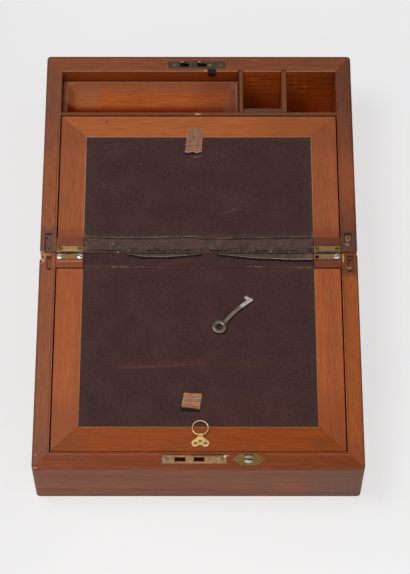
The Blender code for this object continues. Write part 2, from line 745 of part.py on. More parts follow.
def leaf_outline(side):
    """Section of a hinge leaf: a plate that runs into the knuckle round the pin."""
    top = RIM - PLATE_SINK
    bottom = top - LEAF_THICKNESS
    high = math.degrees(math.asin(-top / BARREL_RADIUS))
    low = math.degrees(math.asin(min(1.0, -bottom / BARREL_RADIUS)))
    knuckle = arc((0, 0), BARREL_RADIUS, -high, 360 - low, SMALL_ROUND_STEPS)
    if knuckle[-1][1] - bottom > MERGE_DISTANCE:
        knuckle.append((knuckle[-1][0], bottom))
    outline = knuckle + [(LEAF_WIDTH, bottom), (LEAF_WIDTH, top)]
    return [[(side * y, z) for y, z in outline], circle((0, 0), PIN_RADIUS + PIN_PLAY, PIN_STEPS)]


def make_hinge(word, x_side, base_wall, lid_wall):
    """One butt hinge: two leaves with interleaved knuckles, and the pin."""
    outer = x_side * HINGE_OUTER_END
    start = min(outer, outer - x_side * HINGE_LENGTH)
    place = Matrix.Translation((start + HINGE_LENGTH / 2, 0, 0)) @ ALONG_X
    pitch = HINGE_LENGTH / KNUCKLE_COUNT
    leaves = {}
    for half, side, frame, wall in (("base", 1, "base_frame", base_wall), ("lid", -1, "lid_axis", lid_wall)):
        bm = extruded(leaf_outline(side), HINGE_LENGTH, place)
        leaf = part(f"hinge_{word}_{half}_leaf", bm, BRASS, frame, smooth=True)
        leaves[half] = leaf
        gone = [i for i in range(KNUCKLE_COUNT) if (i % 2 == 0) == (half == "lid")]
        reach = BARREL_RADIUS + BARREL_PLAY
        for i in gone:
            low_x = start + i * pitch - (CLEARANCE / 2 if i else OVERCUT)
            high_x = start + (i + 1) * pitch + (CLEARANCE / 2 if i < KNUCKLE_COUNT - 1 else OVERCUT)
            notch = box((low_x, -reach, -reach), (high_x, reach, reach))
            combine(leaf, cutter(f"hinge_{word}_{half}_notch_{i}", notch, frame))
        seat = sorted((0, side * (LEAF_WIDTH + CLEARANCE)))
        bottom = RIM - PLATE_SINK - LEAF_THICKNESS - CLEARANCE
        low_x, high_x = start - CLEARANCE, start + HINGE_LENGTH + CLEARANCE
        bm = box((low_x, seat[0], bottom), (high_x, seat[1], OVERCUT))
        combine(wall, cutter(f"hinge_{word}_{half}_seat", bm, frame))
        groove = rod((low_x, 0, 0), (high_x, 0, 0), reach)
        combine(wall, cutter(f"hinge_{word}_{half}_groove", groove, frame))
    pin = rod((start, 0, 0), (start + HINGE_LENGTH, 0, 0), PIN_RADIUS, PIN_STEPS)
    part(f"hinge_{word}_pin", pin, DULL_BRASS, smooth=True)
    return leaves, start + HINGE_LENGTH / 2


def make_hinges(base, lid):
    """Both hinges and their screws. The right hinge has lost the inner screw of its lid leaf."""
    level = RIM - PLATE_SINK
    for word, x_side in (("left", -1), ("right", 1)):
        leaves, middle = make_hinge(word, x_side, base["hinge"], lid["hinge"])
        for end_word, end in (("outer", x_side), ("inner", -x_side)):
            x = middle + end * (HINGE_LENGTH / 2 - SCREW_END)
            name = f"hinge_{word}_base_screw_{end_word}"
            place = Matrix.Translation((x, SCREW_LINE, level))
            make_screw(name, place, DULL_BRASS, "base_frame", (leaves["base"], base["hinge"]))
            name = f"hinge_{word}_lid_screw_{end_word}"
            place = Matrix.Translation((x, -SCREW_LINE, level))
            holders = (leaves["lid"], lid["hinge"])
            if (word, end_word) == ("right", "inner"):
                cut_screw_hole(name, place, "lid_axis", holders, SCREW_HEAD_RADIUS)
            else:
                make_screw(name, place, ZINC, "lid_axis", holders)


# Lock, strike and lozenge plate


def flat_plate(x, y, length, width, thickness):
    """A plate let in flush with the rims."""
    top = RIM - PLATE_SINK
    low = (x - length / 2, y - width / 2, top - thickness)
    return box(low, (x + length / 2, y + width / 2, top))


def plate_seat(x, y, length, width, thickness):
    """The recess for such a plate, open at the top."""
    half_x, half_y = length / 2 + CLEARANCE, width / 2 + CLEARANCE
    bottom = RIM - PLATE_SINK - thickness - CLEARANCE
    return box((x - half_x, y - half_y, bottom), (x + half_x, y + half_y, OVERCUT))


def hook_starts():
    return [LOCK_X + HOOK_START, LOCK_X + HOOK_START + HOOK_SPACING]


def bolt_outline(case_floor):
    """The bolt's flat outline in X and height: a bar with two hooks whose lips point to +X."""
    first, last = hook_starts()
    bar_low = case_floor + CLEARANCE
    bar_high = bar_low + BOLT_BAR_HEIGHT
    lip_low = RIM_GAP / 2 + LOCK_PLATE_THICKNESS + PLATE_SINK + CLEARANCE
    top = RIM + HOOK_HEIGHT
    points = [(first - BOLT_BAR_END, bar_low), (last + HOOK_WIDTH + BOLT_BAR_END, bar_low)]
    points.append((last + HOOK_WIDTH + BOLT_BAR_END, bar_high))
    for start in (last, first):
        edge = start + HOOK_WIDTH
        tip = edge + HOOK_LIP
        points += [(edge, bar_high), (edge, lip_low), (tip, lip_low), (tip, (lip_low + top) / 2)]
        points += [(edge - HOOK_LIP, top), (start, top), (start, bar_high)]
    points.append((first - BOLT_BAR_END, bar_high))
    return points


def keyhole_outline(border):
    """Round-topped keyhole, grown by a border on every side."""
    radius = KEYHOLE_RADIUS + border
    half = KEYHOLE_SLOT_WIDTH / 2 + border
    meet = math.degrees(math.acos(half / radius))
    bow = arc((0, 0), radius, -meet, 180 + meet, SMALL_ROUND_STEPS)
    foot = -KEYHOLE_SLOT_LENGTH - border
    return bow + [(-half, foot), (half, foot)]


def make_lock(far_wall):
    """The lock let into the far wall's rim: selvedge, case, sliding bolt and keyhole."""
    plate = (LOCK_X, LOCK_LINE, SELVEDGE_LENGTH, SELVEDGE_WIDTH, LOCK_PLATE_THICKNESS)
    selvedge = part("lock_selvedge", flat_plate(*plate), DULL_BRASS)
    combine(far_wall, cutter("selvedge_seat", plate_seat(*plate)))
    case_top = RIM - PLATE_SINK - LOCK_PLATE_THICKNESS - CLEARANCE
    case_low = case_top - LOCK_CASE_DEPTH
    half_x, half_y = LOCK_CASE_LENGTH / 2, LOCK_CASE_WIDTH / 2
    low = Vector((LOCK_X - half_x, LOCK_LINE - half_y, case_low))
    high = Vector((LOCK_X + half_x, LOCK_LINE + half_y, case_top))
    case = part("lock_case", box(low, high), BLACK_IRON)
    grow = Vector((CLEARANCE, CLEARANCE, CLEARANCE))
    combine(far_wall, cutter("lock_mortise", box(low - grow, high + grow + Vector((0, 0, OVERCUT)))))
    shell = Vector((LOCK_CASE_WALL, LOCK_CASE_WALL, 0))
    case_floor = case_low + LOCK_CASE_WALL
    room = box(Vector((low.x, low.y, case_floor)) + shell, high - shell + Vector((0, 0, OVERCUT)))
    combine(case, cutter("lock_case_room", room))

    upright = Matrix.Translation((0, LOCK_LINE, 0)) @ Matrix.Rotation(math.pi / 2, 4, "X")
    new_frame("lock_bolt_axis", ON_SLOPE @ Matrix.Translation((LOCK_X, LOCK_LINE, RIM)), "base_frame")
    bolt = extruded([bolt_outline(case_floor)], HOOK_THICKNESS, upright)
    part("lock_bolt", bolt, DULL_BRASS, "lock_bolt_axis")
    half_slot = HOOK_THICKNESS / 2 + SELVEDGE_SLOT_PLAY
    for i, start in enumerate(hook_starts()):
        low = (start - SELVEDGE_SLOT_START, LOCK_LINE - half_slot, RIM - OVERCUT)
        end = start + HOOK_WIDTH + BOLT_TRAVEL + SELVEDGE_SLOT_END
        combine(selvedge, cutter(f"selvedge_slot_{i}", box(low, (end, LOCK_LINE + half_slot, OVERCUT))))

    cut_keyhole(far_wall, case)


def keyhole_slab(border, near, far, hole=None):
    """The keyhole's outline as a slab between two distances from the fold, with a hole if it is a ring."""
    outlines = [keyhole_outline(border)]
    if hole is not None:
        outlines.append(keyhole_outline(hole))
    middle = Vector((LOCK_X, (near + far) / 2, rim_height(HALF_DEPTH, KEYHOLE_DROP)))
    return extruded(outlines, far - near, Matrix.Translation(middle) @ Matrix.Rotation(math.pi / 2, 4, "X"))


def cut_keyhole(far_wall, case):
    """The keyhole through the far face into the lock's case, and the escutcheon let in round it."""
    face = HALF_DEPTH - PLATE_SINK
    back = face - ESCUTCHEON_THICKNESS
    part("keyhole_escutcheon", keyhole_slab(ESCUTCHEON_BORDER, back, face, 0.0), BRASS, space=WORLD)
    seat = keyhole_slab(ESCUTCHEON_BORDER + CLEARANCE, back - CLEARANCE, HALF_DEPTH + OVERCUT)
    combine(far_wall, cutter("escutcheon_seat", seat, space=WORLD))
    through = cutter("keyhole", keyhole_slab(0.0, LOCK_LINE, HALF_DEPTH + OVERCUT), space=WORLD)
    combine(far_wall, through)
    combine(case, through)


def make_iron_tab(far_wall):
    """A bent black iron tab let into the far rim's inner edge, its end hanging down inside the bay."""
    top = RIM - PLATE_SINK
    under = top - TAB_IRON_THICKNESS
    foot = RIM - TAB_IRON_HANG
    reach = on_slope(BASE_END) + TAB_IRON_REACH
    half, tip = TAB_IRON_WIDTH / 2, TAB_IRON_TIP / 2
    shoulder = foot + TAB_IRON_TAPER
    outline = [(-tip, foot), (tip, foot), (half, shoulder), (half, top), (-half, top), (-half, shoulder)]
    middle = (TAB_IRON_X, (TAB_IRON_FRONT + TAB_IRON_BACK) / 2, 0)
    place = Matrix.Translation(middle) @ Matrix.Rotation(math.pi / 2, 4, "X")
    tab = part("lock_tab", extruded([outline], TAB_IRON_THICKNESS, place), BLACK_IRON)
    flange = box((TAB_IRON_X - half, TAB_IRON_FRONT, under), (TAB_IRON_X + half, reach, top))
    combine(tab, cutter("iron_tab_flange", flange), "UNION")
    half = half + CLEARANCE
    low = (TAB_IRON_X - half, TAB_IRON_BACK - OVERCUT, under - CLEARANCE)
    notch = box(low, (TAB_IRON_X + half, reach + CLEARANCE, OVERCUT))
    combine(far_wall, cutter("iron_tab_notch", notch))


def make_strike(near_wall):
    """The lid's strike plate, with a slot and a pocket behind it for each hook."""
    plate = (LOCK_X + STRIKE_SHIFT, -STRIKE_LINE, STRIKE_LENGTH, STRIKE_WIDTH, LOCK_PLATE_THICKNESS)
    strike = part("lock_strike_plate", flat_plate(*plate), BRASS, "lid_axis")
    combine(near_wall, cutter("strike_seat", plate_seat(*plate), "lid_axis"))
    for i, start in enumerate(hook_starts()):
        first = start - STRIKE_SLOT_START
        last = start + HOOK_WIDTH + max(BOLT_TRAVEL, HOOK_LIP) + STRIKE_END_PLAY
        half = STRIKE_SLOT_WIDTH / 2
        slot = box((first, -STRIKE_LINE - half, RIM - OVERCUT), (last, -STRIKE_LINE + half, OVERCUT))
        combine(strike, cutter(f"strike_slot_{i}", slot, "lid_axis"))
        half = STRIKE_POCKET_WIDTH / 2
        low = (first, -STRIKE_LINE - half, RIM - STRIKE_POCKET_DEPTH)
        pocket = box(low, (last + HOOK_LIP, -STRIKE_LINE + half, OVERCUT))
        combine(near_wall, cutter(f"strike_pocket_{i}", pocket, "lid_axis"))


def lozenge_outline(border):
    tip, flat = LOZENGE_LENGTH / 2 + border, LOZENGE_FLAT / 2 + border
    half = LOZENGE_WIDTH / 2 + border
    return [(-tip, 0), (-flat, -half), (flat, -half), (tip, 0), (flat, half), (-flat, half)]


def make_lozenge(near_wall):
    """A lozenge plate let into the lid's near rim, held by one large screw."""
    top = RIM - PLATE_SINK
    place = Matrix.Translation((LOZENGE_X, -LOZENGE_LINE, top - LOZENGE_THICKNESS / 2))
    bm = extruded([lozenge_outline(0.0)], LOZENGE_THICKNESS, place)
    plate = part("lozenge_plate", bm, BRASS, "lid_axis")
    deep = LOZENGE_THICKNESS + CLEARANCE
    place = Matrix.Translation((LOZENGE_X, -LOZENGE_LINE, top - deep + OVERCUT / 2))
    seat = extruded([lozenge_outline(CLEARANCE)], OVERCUT, place)
    combine(near_wall, cutter("lozenge_seat", seat, "lid_axis"))
    place = Matrix.Translation((LOZENGE_X, -LOZENGE_LINE, top))
    make_screw("lozenge_screw", place, ZINC, "lid_axis", (plate, near_wall), LOZENGE_SCREW_RADIUS)


# Ring pull and key on the lower flap


def trefoil_outline():
    """The pull plate's outline: a narrow upper lobe and two round lower lobes with a cleft between them."""
    side = PULL_PLATE_WIDTH / 2 - PULL_LOBE_RADIUS
    foot = PULL_LOBE_RADIUS - PULL_PLATE_LENGTH
    right = arc((side, foot), PULL_LOBE_RADIUS, *PULL_LOBE_SWEEP, PIN_STEPS)
    crown = arc((0, -PULL_CROWN_RADIUS), PULL_CROWN_RADIUS, *PULL_CROWN_SWEEP, PIN_STEPS)
    left = [(-x, y) for x, y in reversed(right)]
    return right + crown + left + [(0, PULL_CLEFT - PULL_PLATE_LENGTH)]


def make_ring_pull():
    """Plate, eye and ring: the ring hangs in the eye and lies towards the fold."""
    sag = RING_RADIUS - math.sqrt(RING_RADIUS**2 - (EYE_LENGTH / 2) ** 2)
    eye_radius = RING_WIRE + sag / 2 + EYE_PLAY
    eye_outer = eye_radius + EYE_WALL
    plate_low = -(LOWER_FLAP_END - PULL_PLATE_INSET)
    plate_top = plate_low + PULL_PLATE_LENGTH
    eye_y = plate_top + EYE_OFFSET
    eye_level = FLAP_TOP + CLEARANCE + eye_outer
    level = FLAP_TOP + CLEARANCE + PULL_PLATE_THICKNESS / 2
    bm = extruded([trefoil_outline()], PULL_PLATE_THICKNESS, Matrix.Translation((PULL_X, plate_top, level)))
    plate = part("ring_plate", bm, BRASS, "lower_flap_axis", smooth=True)
    foot = EYE_FOOT - eye_outer
    back = -EYE_OFFSET - EYE_HEEL
    strap = arc((0, 0), eye_outer, math.degrees(math.asin(foot / eye_outer)), EYE_WRAP, PIN_STEPS)
    strap += [(back, foot + EYE_STRAP), (back, foot)]
    eye = extruded([strap], EYE_LENGTH, Matrix.Translation((PULL_X, eye_y, eye_level)) @ ALONG_X)
    combine(plate, cutter("ring_eye", eye, "lower_flap_axis"), "UNION")
    bore = rod((PULL_X - EYE_LENGTH, eye_y, eye_level), (PULL_X + EYE_LENGTH, eye_y, eye_level), eye_radius)
    combine(plate, cutter("ring_eye_bore", bore, "lower_flap_axis"))

    new_frame("ring_axis", ON_SLOPE @ Matrix.Translation((PULL_X, eye_y, eye_level)), "lower_flap_axis")
    section = [(RING_RADIUS + x, y) for x, y in circle((0, 0), RING_WIRE, WIRE_STEPS)]
    bm = turned(section, RING_STEPS, closed=True)
    reach = 2 * RING_RADIUS - sag / 2
    tilt = math.asin((eye_level - FLAP_TOP - CLEARANCE - RING_WIRE) / reach)
    swing = Matrix.Rotation(-tilt, 4, "X") @ Matrix.Translation((0, RING_RADIUS - sag / 2, 0))
    bm.transform(Matrix.Translation((PULL_X, eye_y, eye_level)) @ swing)
    part("pull_ring", bm, BRASS, "ring_axis", smooth=True)


def make_key():
    """A small bent key: thick ring bow, curved square stem and one bit, lying on the leather."""
    level = FLAP_TOP + CLEARANCE + KEY_THICKNESS / 2
    bow = Vector((KEY_BOW_X, -KEY_BOW_DISTANCE, level))
    new_frame("key_axis", ON_SLOPE @ Matrix.Translation(bow), "lower_flap_axis")
    half = KEY_THICKNESS / 2
    flatten = half / KEY_BOW_WIRE
    section = [(KEY_BOW_RADIUS + x, y * flatten) for x, y in circle((0, 0), KEY_BOW_WIRE, WIRE_STEPS)]
    bm = turned(section, ROUND_STEPS, closed=True)
    bm.transform(Matrix.Translation(bow))
    key = part("key", bm, PEWTER_STEEL, "key_axis", smooth=True)

    point = bow + KEY_BOW_RADIUS * Vector((math.cos(KEY_ROOT_ANGLE), math.sin(KEY_ROOT_ANGLE), 0))
    points, headings = [], []
    left, right = [], []
    for i in range(KEY_STEPS + 1):
        heading = KEY_HEADING - KEY_STEM_TURN * i / KEY_STEPS
        points.append(point.copy())
        headings.append(heading)
        aside = Vector((-math.sin(heading), math.cos(heading), 0)) * KEY_STEM_WIDTH / 2
        left.append((point + aside).to_2d())
        right.append((point - aside).to_2d())
        point = point + Vector((math.cos(heading), math.sin(heading), 0)) * KEY_STEM_LENGTH / KEY_STEPS
    stem = extruded([right + left[::-1]], KEY_THICKNESS - KEY_STEM_EDGE, Matrix.Translation((0, 0, level)))
    ridges = [edge for edge in stem.edges if edge.calc_face_angle(0) > math.radians(80)]
    bmesh.ops.bevel(stem, geom=ridges, offset=KEY_STEM_EDGE, segments=1, profile=0.5, affect="EDGES")
    combine(key, cutter("key_stem", stem, "key_axis"), "UNION")
    last = headings[-1]
    along = Vector((math.cos(last), math.sin(last), 0))
    root = points[-1] - along * (KEY_BIT_SETBACK + KEY_BIT_LENGTH / 2)
    high = Vector((KEY_BIT_LENGTH / 2, KEY_STEM_WIDTH / 2 + KEY_BIT_REACH, KEY_BIT_THICKNESS / 2))
    bit = box((-high.x, 0, -high.z), high)
    bit.transform(Matrix.Translation(root) @ Matrix.Rotation(last, 4, "Z"))
    combine(key, cutter("key_bit", bit, "key_axis"), "UNION")


def chip_corner(left_wall):
    """Breaks the lid's left corner at the fold."""
    bm = box((-CHIP_WIDTH, -CHIP_LENGTH, -CHIP_HEIGHT), (CHIP_WIDTH, CHIP_LENGTH, CHIP_HEIGHT))
    turn = Matrix.Rotation(math.atan2(CHIP_WIDTH, CHIP_LENGTH), 4, "Z")
    lean = Matrix.Rotation(-math.atan2(CHIP_WIDTH, CHIP_HEIGHT), 4, "Y")
    bm.transform(Matrix.Translation((-HALF_WIDTH, 0, RIM)) @ turn @ lean)
    combine(left_wall, cutter("corner_chip", bm, "lid_axis"))


base_walls = make_half("base", 1, FAR_WALL, "far", "base_frame")
lid_walls = make_half("lid", -1, NEAR_WALL, "near", "lid_axis")
make_ledges("upper", 1, PARTITION_NEAR, "base_frame")
make_ledges("lower", -1, LID_END, "lid_axis")
make_flap("upper", 1, UPPER_FLAP_START, UPPER_FLAP_END, UPPER_END_RAIL, "far", "upper_flap_axis")
make_flap("lower", -1, LOWER_FLAP_START, LOWER_FLAP_END, LOWER_END_RAIL, "near", "lower_flap_axis")
upper_root = (UPPER_TAB_X, UPPER_FLAP_END - UPPER_TAB_INSET)
make_ribbon("upper", upper_root, UPPER_TAB_LENGTH, UPPER_TAB_SKEW, UPPER_TAB_LIFT)
lower_root = (LOWER_TAB_X, LOWER_TAB_INSET - LOWER_FLAP_END)
make_ribbon("lower", lower_root, LOWER_TAB_LENGTH, LOWER_TAB_SKEW, LOWER_TAB_LIFT)
make_compartments(base_walls["end"])
make_hinges(base_walls, lid_walls)
make_lock(base_walls["end"])
make_iron_tab(base_walls["end"])
make_strike(lid_walls["end"])
make_lozenge(lid_walls["end"])
make_ring_pull()
make_key()
chip_corner(lid_walls["left"])
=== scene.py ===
import math
from functools import partial

import bmesh
import bpy
import numpy as np
from mathutils import Matrix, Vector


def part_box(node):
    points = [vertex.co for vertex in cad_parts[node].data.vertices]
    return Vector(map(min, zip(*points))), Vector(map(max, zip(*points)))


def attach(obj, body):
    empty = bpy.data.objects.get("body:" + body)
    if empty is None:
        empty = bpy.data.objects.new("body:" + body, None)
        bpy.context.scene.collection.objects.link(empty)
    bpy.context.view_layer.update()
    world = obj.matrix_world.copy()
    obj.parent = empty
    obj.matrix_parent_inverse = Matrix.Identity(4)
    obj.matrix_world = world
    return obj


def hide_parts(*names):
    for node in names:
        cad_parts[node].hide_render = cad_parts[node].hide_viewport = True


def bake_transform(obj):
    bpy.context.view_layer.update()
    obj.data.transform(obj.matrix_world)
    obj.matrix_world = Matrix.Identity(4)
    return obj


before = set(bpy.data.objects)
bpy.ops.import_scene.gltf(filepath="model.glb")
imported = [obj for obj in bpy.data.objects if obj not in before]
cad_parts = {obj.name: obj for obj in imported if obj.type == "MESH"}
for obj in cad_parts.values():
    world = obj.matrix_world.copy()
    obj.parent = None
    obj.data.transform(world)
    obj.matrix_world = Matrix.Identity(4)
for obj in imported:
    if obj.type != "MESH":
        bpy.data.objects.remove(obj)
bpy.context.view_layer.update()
mm = 0.001
print("frame loaded:", len(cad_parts), "nodes")

# the rims and flaps lie in a plane that rises 8.55 mm over each 221.3 mm half; its line at the fold is 74 mm up
slope = dict(angle=math.atan2(8.55, 221.3), height=74.0, flapTop=-2.2)
slopeCos, slopeSin = math.cos(slope["angle"]), math.sin(slope["angle"])


def gridPoints(x, y, z):
    return np.stack(np.broadcast_arrays(x, y, z), axis=-1)


def onSlope(x, v, w):
    # mm in, metres out: v runs up the slope from the fold, w stands square to it
    return mm * gridPoints(x, v * slopeCos - w * slopeSin, slope["height"] + v * slopeSin + w * slopeCos)


def aim(item, right, up, back, place):
    turn = np.eye(4)
    turn[:3, :3] = np.stack((right, up, back), axis=1)
    turn[:3, 3] = place
    item.matrix_world = Matrix(turn.tolist())
    bpy.context.scene.collection.objects.link(item)


# camera: looks down by pitch, turned by yaw round the upright and rolled about its own line of sight
camera = dict(lens=126.21, sensor=36, clip=(0.05, 50), place=(0.0030, -0.9370, 1.7631), pitch=61.972, yaw=0.200,
              roll=0.196)


def makeCamera():
    pitch, yaw, roll = (math.radians(camera[k]) for k in ("pitch", "yaw", "roll"))
    ahead = np.array((math.sin(yaw) * math.cos(pitch), math.cos(yaw) * math.cos(pitch), -math.sin(pitch)))
    right = np.array((math.cos(yaw), -math.sin(yaw), 0.0))
    up = np.cross(right, ahead)
    right, up = right * math.cos(roll) + up * math.sin(roll), up * math.cos(roll) - right * math.sin(roll)
    data = bpy.data.cameras.new("camera")
    data.lens, data.sensor_width, data.sensor_fit = camera["lens"], camera["sensor"], "AUTO"
    data.clip_start, data.clip_end = camera["clip"]
    item = bpy.data.objects.new("camera", data)
    aim(item, right, up, -ahead, camera["place"])
    bpy.context.scene.camera = item


makeCamera()
print("camera placed")


def linear(hexColour):
    channel = np.array([int(hexColour[i:i + 2], 16) for i in (1, 3, 5)]) / 255
    value = np.where(channel <= 0.04045, channel / 12.92, ((channel + 0.055) / 1.055) ** 2.4)
    return (*value.tolist(), 1.0)


def setInputs(tree, item, inputs):
    # by name or number, or a plain list in the sockets' order; MapRange: value, from, from, to, to
    for socket, value in inputs.items() if isinstance(inputs, dict) else enumerate(inputs):
        if isinstance(value, bpy.types.NodeSocket):
            tree.links.new(value, item.inputs[socket])
        else:
            item.inputs[socket].default_value = linear(value) if isinstance(value, str) else value


def addNode(tree, kind, inputs=None, out=0, stops=None, **settings):
    # the stops are a ramp's tones, at even steps
    made = tree.nodes.new("ShaderNode" + kind)
    for name, value in settings.items():
        setattr(made, name, value)
    if stops:
        while len(made.color_ramp.elements) < len(stops):
            made.color_ramp.elements.new(0.5)
        for step, (element, colour) in enumerate(zip(made.color_ramp.elements, stops)):
            element.position, element.color = step / (len(stops) - 1), linear(colour)
    setInputs(tree, made, inputs or {})
    return made.outputs[out]


def newMaterial(name):
    made = bpy.data.materials.new(name)
    made.use_nodes = True
    add = partial(addNode, made.node_tree)
    return made, add, made.node_tree.nodes["Principled BSDF"], add("TexCoord", out="Object")


def rimPlace(add, place):
    # the point in mm on the slope's own axes: x, v up the slope and w square to it
    return add("Mapping", {"Vector": place, "Scale": (1000, 1000, 1000), "Rotation": (-slope["angle"], 0, 0),
                           "Location": (0, -slope["height"] * slopeSin, -slope["height"] * slopeCos)})


def stain(add, point, rough, centre, radius):
    # an oval mark: 1 inside, falling to 0 at an outline that the rough noise makes ragged
    ragged, feather = 0.9, 0.25  # shares of the radius
    away = add("VectorMath", (point, centre), operation="SUBTRACT")
    away = add("VectorMath", (away, radius), operation="DIVIDE")
    far = add("VectorMath", {0: away}, out="Value", operation="LENGTH")
    edge = add("Math", (rough, ragged, far), operation="MULTIPLY_ADD")
    return add("MapRange", (edge, 1 + ragged / 2 + feather, 1 + ragged / 2 - feather))


def zone(add, point, low, high, feather):
    # 1 inside the box from low to high, falling to 0 over the feather outside it
    centre, half = [[(b + a * k) / 2 for a, b in zip(low, high)] for k in (1, -1)]
    away = add("VectorMath", (point, centre), operation="SUBTRACT")
    away = add("VectorMath", {0: away}, operation="ABSOLUTE")
    beyond = add("VectorMath", (away, half), operation="SUBTRACT")
    split = [add("SeparateXYZ", {0: beyond}, out=axis) for axis in range(3)]
    worst = add("Math", (split[0], split[1]), operation="MAXIMUM")
    worst = add("Math", (worst, split[2]), operation="MAXIMUM")
    return add("MapRange", (worst, feather, 0.0))


rgba = dict(out=2, data_type="RGBA")  # what a Mix node needs to mix colours


def layMarks(add, colour, point, rough, marks):
    # lays each mark's tone over the colour, inside its ragged oval
    for tone, share, *spot in marks:
        mask = stain(add, point, rough, spot[:3], spot[3:])
        mask = add("Math", (mask, share), operation="MULTIPLY")
        colour = add("Mix", {0: mask, 6: colour, 7: tone}, **rgba)
    return colour


def arris(add, radius, most=1.0):
    # the normal, turned as if the edges were rounded, and how far each point belongs to a rubbed edge
    rounded = add("Bevel", {"Radius": radius * mm}, samples=4)
    facing = add("VectorMath", (rounded, add("NewGeometry", out="True Normal")), out="Value", operation="DOT_PRODUCT")
    return rounded, add("MapRange", (facing, 0.985, 0.86, 0, most))


# widths in mm; bands and streaks run so many times longer than wide. Real pores are 0.2 mm, too fine to show
grain = dict(band=8, bandLong=36, streak=0.8, streakLong=26, pore=0.55, blotch=35, rubbed=6, mark=1.5, edge=0.7)
caseFaces = dict(side=151.8, end=220.7, fold=1.2, farOff=9000)  # just inside the outer faces, in mm


# French-polished mahogany, planed and worn: red-brown bands along the board, finer streaks, dark pores
# and paler arrises where the polish has rubbed off, under a soft sheen
def mahogany(name, tones, along, roughness=0.46, polish=0.04, marks=(), zones=(), outside=None):
    made, add, shader, place = newMaterial(name)
    longer, shorter = [1000.0] * 3, [1000.0] * 3
    longer[along], shorter[along] = 1000.0 / grain["bandLong"], 1000.0 / grain["streakLong"]
    fibre = add("Mapping", {"Vector": place, "Scale": shorter})
    bands = add("Mapping", {"Vector": place, "Scale": longer})
    bands = add("TexNoise", {"Vector": bands, "Scale": 1 / grain["band"], "Detail": 3.0, "Distortion": 0.2})
    streaks = add("TexNoise", {"Vector": fibre, "Scale": 1 / grain["streak"], "Detail": 3.0, "Roughness": 0.6,
                               "Distortion": 0.05})
    pores = add("TexNoise", {"Vector": fibre, "Scale": 1 / grain["pore"], "Detail": 2.0})
    pores = add("MapRange", (pores, 0.60, 0.74))
    figure = add("Math", (bands, 0.4, streaks), operation="MULTIPLY_ADD")
    figure = add("MapRange", (figure, 0.42, 0.98))
    colour = add("ValToRGB", {"Fac": figure}, stops=[tones[key] for key in ("dark", "mid", "light")])
    layers = [(add("Math", (pores, 0.35), operation="MULTIPLY"), tones["pore"])]
    blotch = add("TexNoise", {"Vector": place, "Scale": 1 / (grain["blotch"] * mm), "Detail": 4.0})
    blotch = add("MapRange", (blotch, 0.5, 0.8, 0, 0.2))
    layers.append((blotch, tones["dark"]))
    if outside:  # the faces that took the light and the dust are duller and greyer
        side, end, fold, farOff = (caseFaces[key] * mm for key in ("side", "end", "fold", "farOff"))
        beyond = add("VectorMath", {0: place}, operation="ABSOLUTE")
        beyond = add("VectorMath", (beyond, (side, end, farOff)), operation="SUBTRACT")
        split = [add("SeparateXYZ", {0: beyond}, out=axis) for axis in range(2)]
        worst = add("Math", (split[0], split[1]), operation="MAXIMUM")
        inner = add("Math", (split[1], -1.0, fold - end), operation="MULTIPLY_ADD")
        worst = add("Math", (worst, inner), operation="MAXIMUM")  # the faces at the fold are outside when shut
        share = add("MapRange", (worst, -0.2 * mm, 0.3 * mm, 0, 0.85))
        dull = add("ValToRGB", {"Fac": figure}, stops=[outside[key] for key in ("dark", "mid", "light")])
        layers.append((share, dull))
    rounded, edge = arris(add, grain["edge"], 0.6)
    worn = add("TexNoise", {"Vector": place, "Scale": 1 / (grain["rubbed"] * mm), "Detail": 3.0})
    worn = add("MapRange", (worn, 0.35, 0.65))
    layers.append((add("Math", (edge, worn), operation="MULTIPLY"), tones["edge"]))
    point = rimPlace(add, place)
    for tone, share, *box in zones:
        layers.append((add("Math", (zone(add, point, *box), share), operation="MULTIPLY"), tone))
    for mask, tone in layers:
        colour = add("Mix", {0: mask, 6: colour, 7: tone}, **rgba)
    rough = add("TexNoise", {"Vector": place, "Scale": 1 / (grain["mark"] * mm), "Detail": 3.0})
    colour = layMarks(add, colour, point, rough, marks)
    height = add("Math", (pores, -0.6, streaks), operation="MULTIPLY_ADD")
    bump = add("Bump", {"Strength": 0.25, "Distance": 0.15 * mm, "Height": height, "Normal": rounded})
    setInputs(made.node_tree, shader, {
        "Base Color": colour, "Normal": bump, "IOR": 1.5, "Specular IOR Level": 0.15 if polish else 0.05,
        "Coat Weight": polish, "Coat Roughness": 0.25,
        "Roughness": add("MapRange", (streaks, 0.3, 0.7, roughness - 0.06, roughness + 0.08))})
    return made


# sizes in mm; scratches are drawn wider than real ones
tarnish = dict(patch=4, fine=0.7, scratchLong=5, scratchesPerMm=2.9, edge=0.25, slotShade="#1a1512")


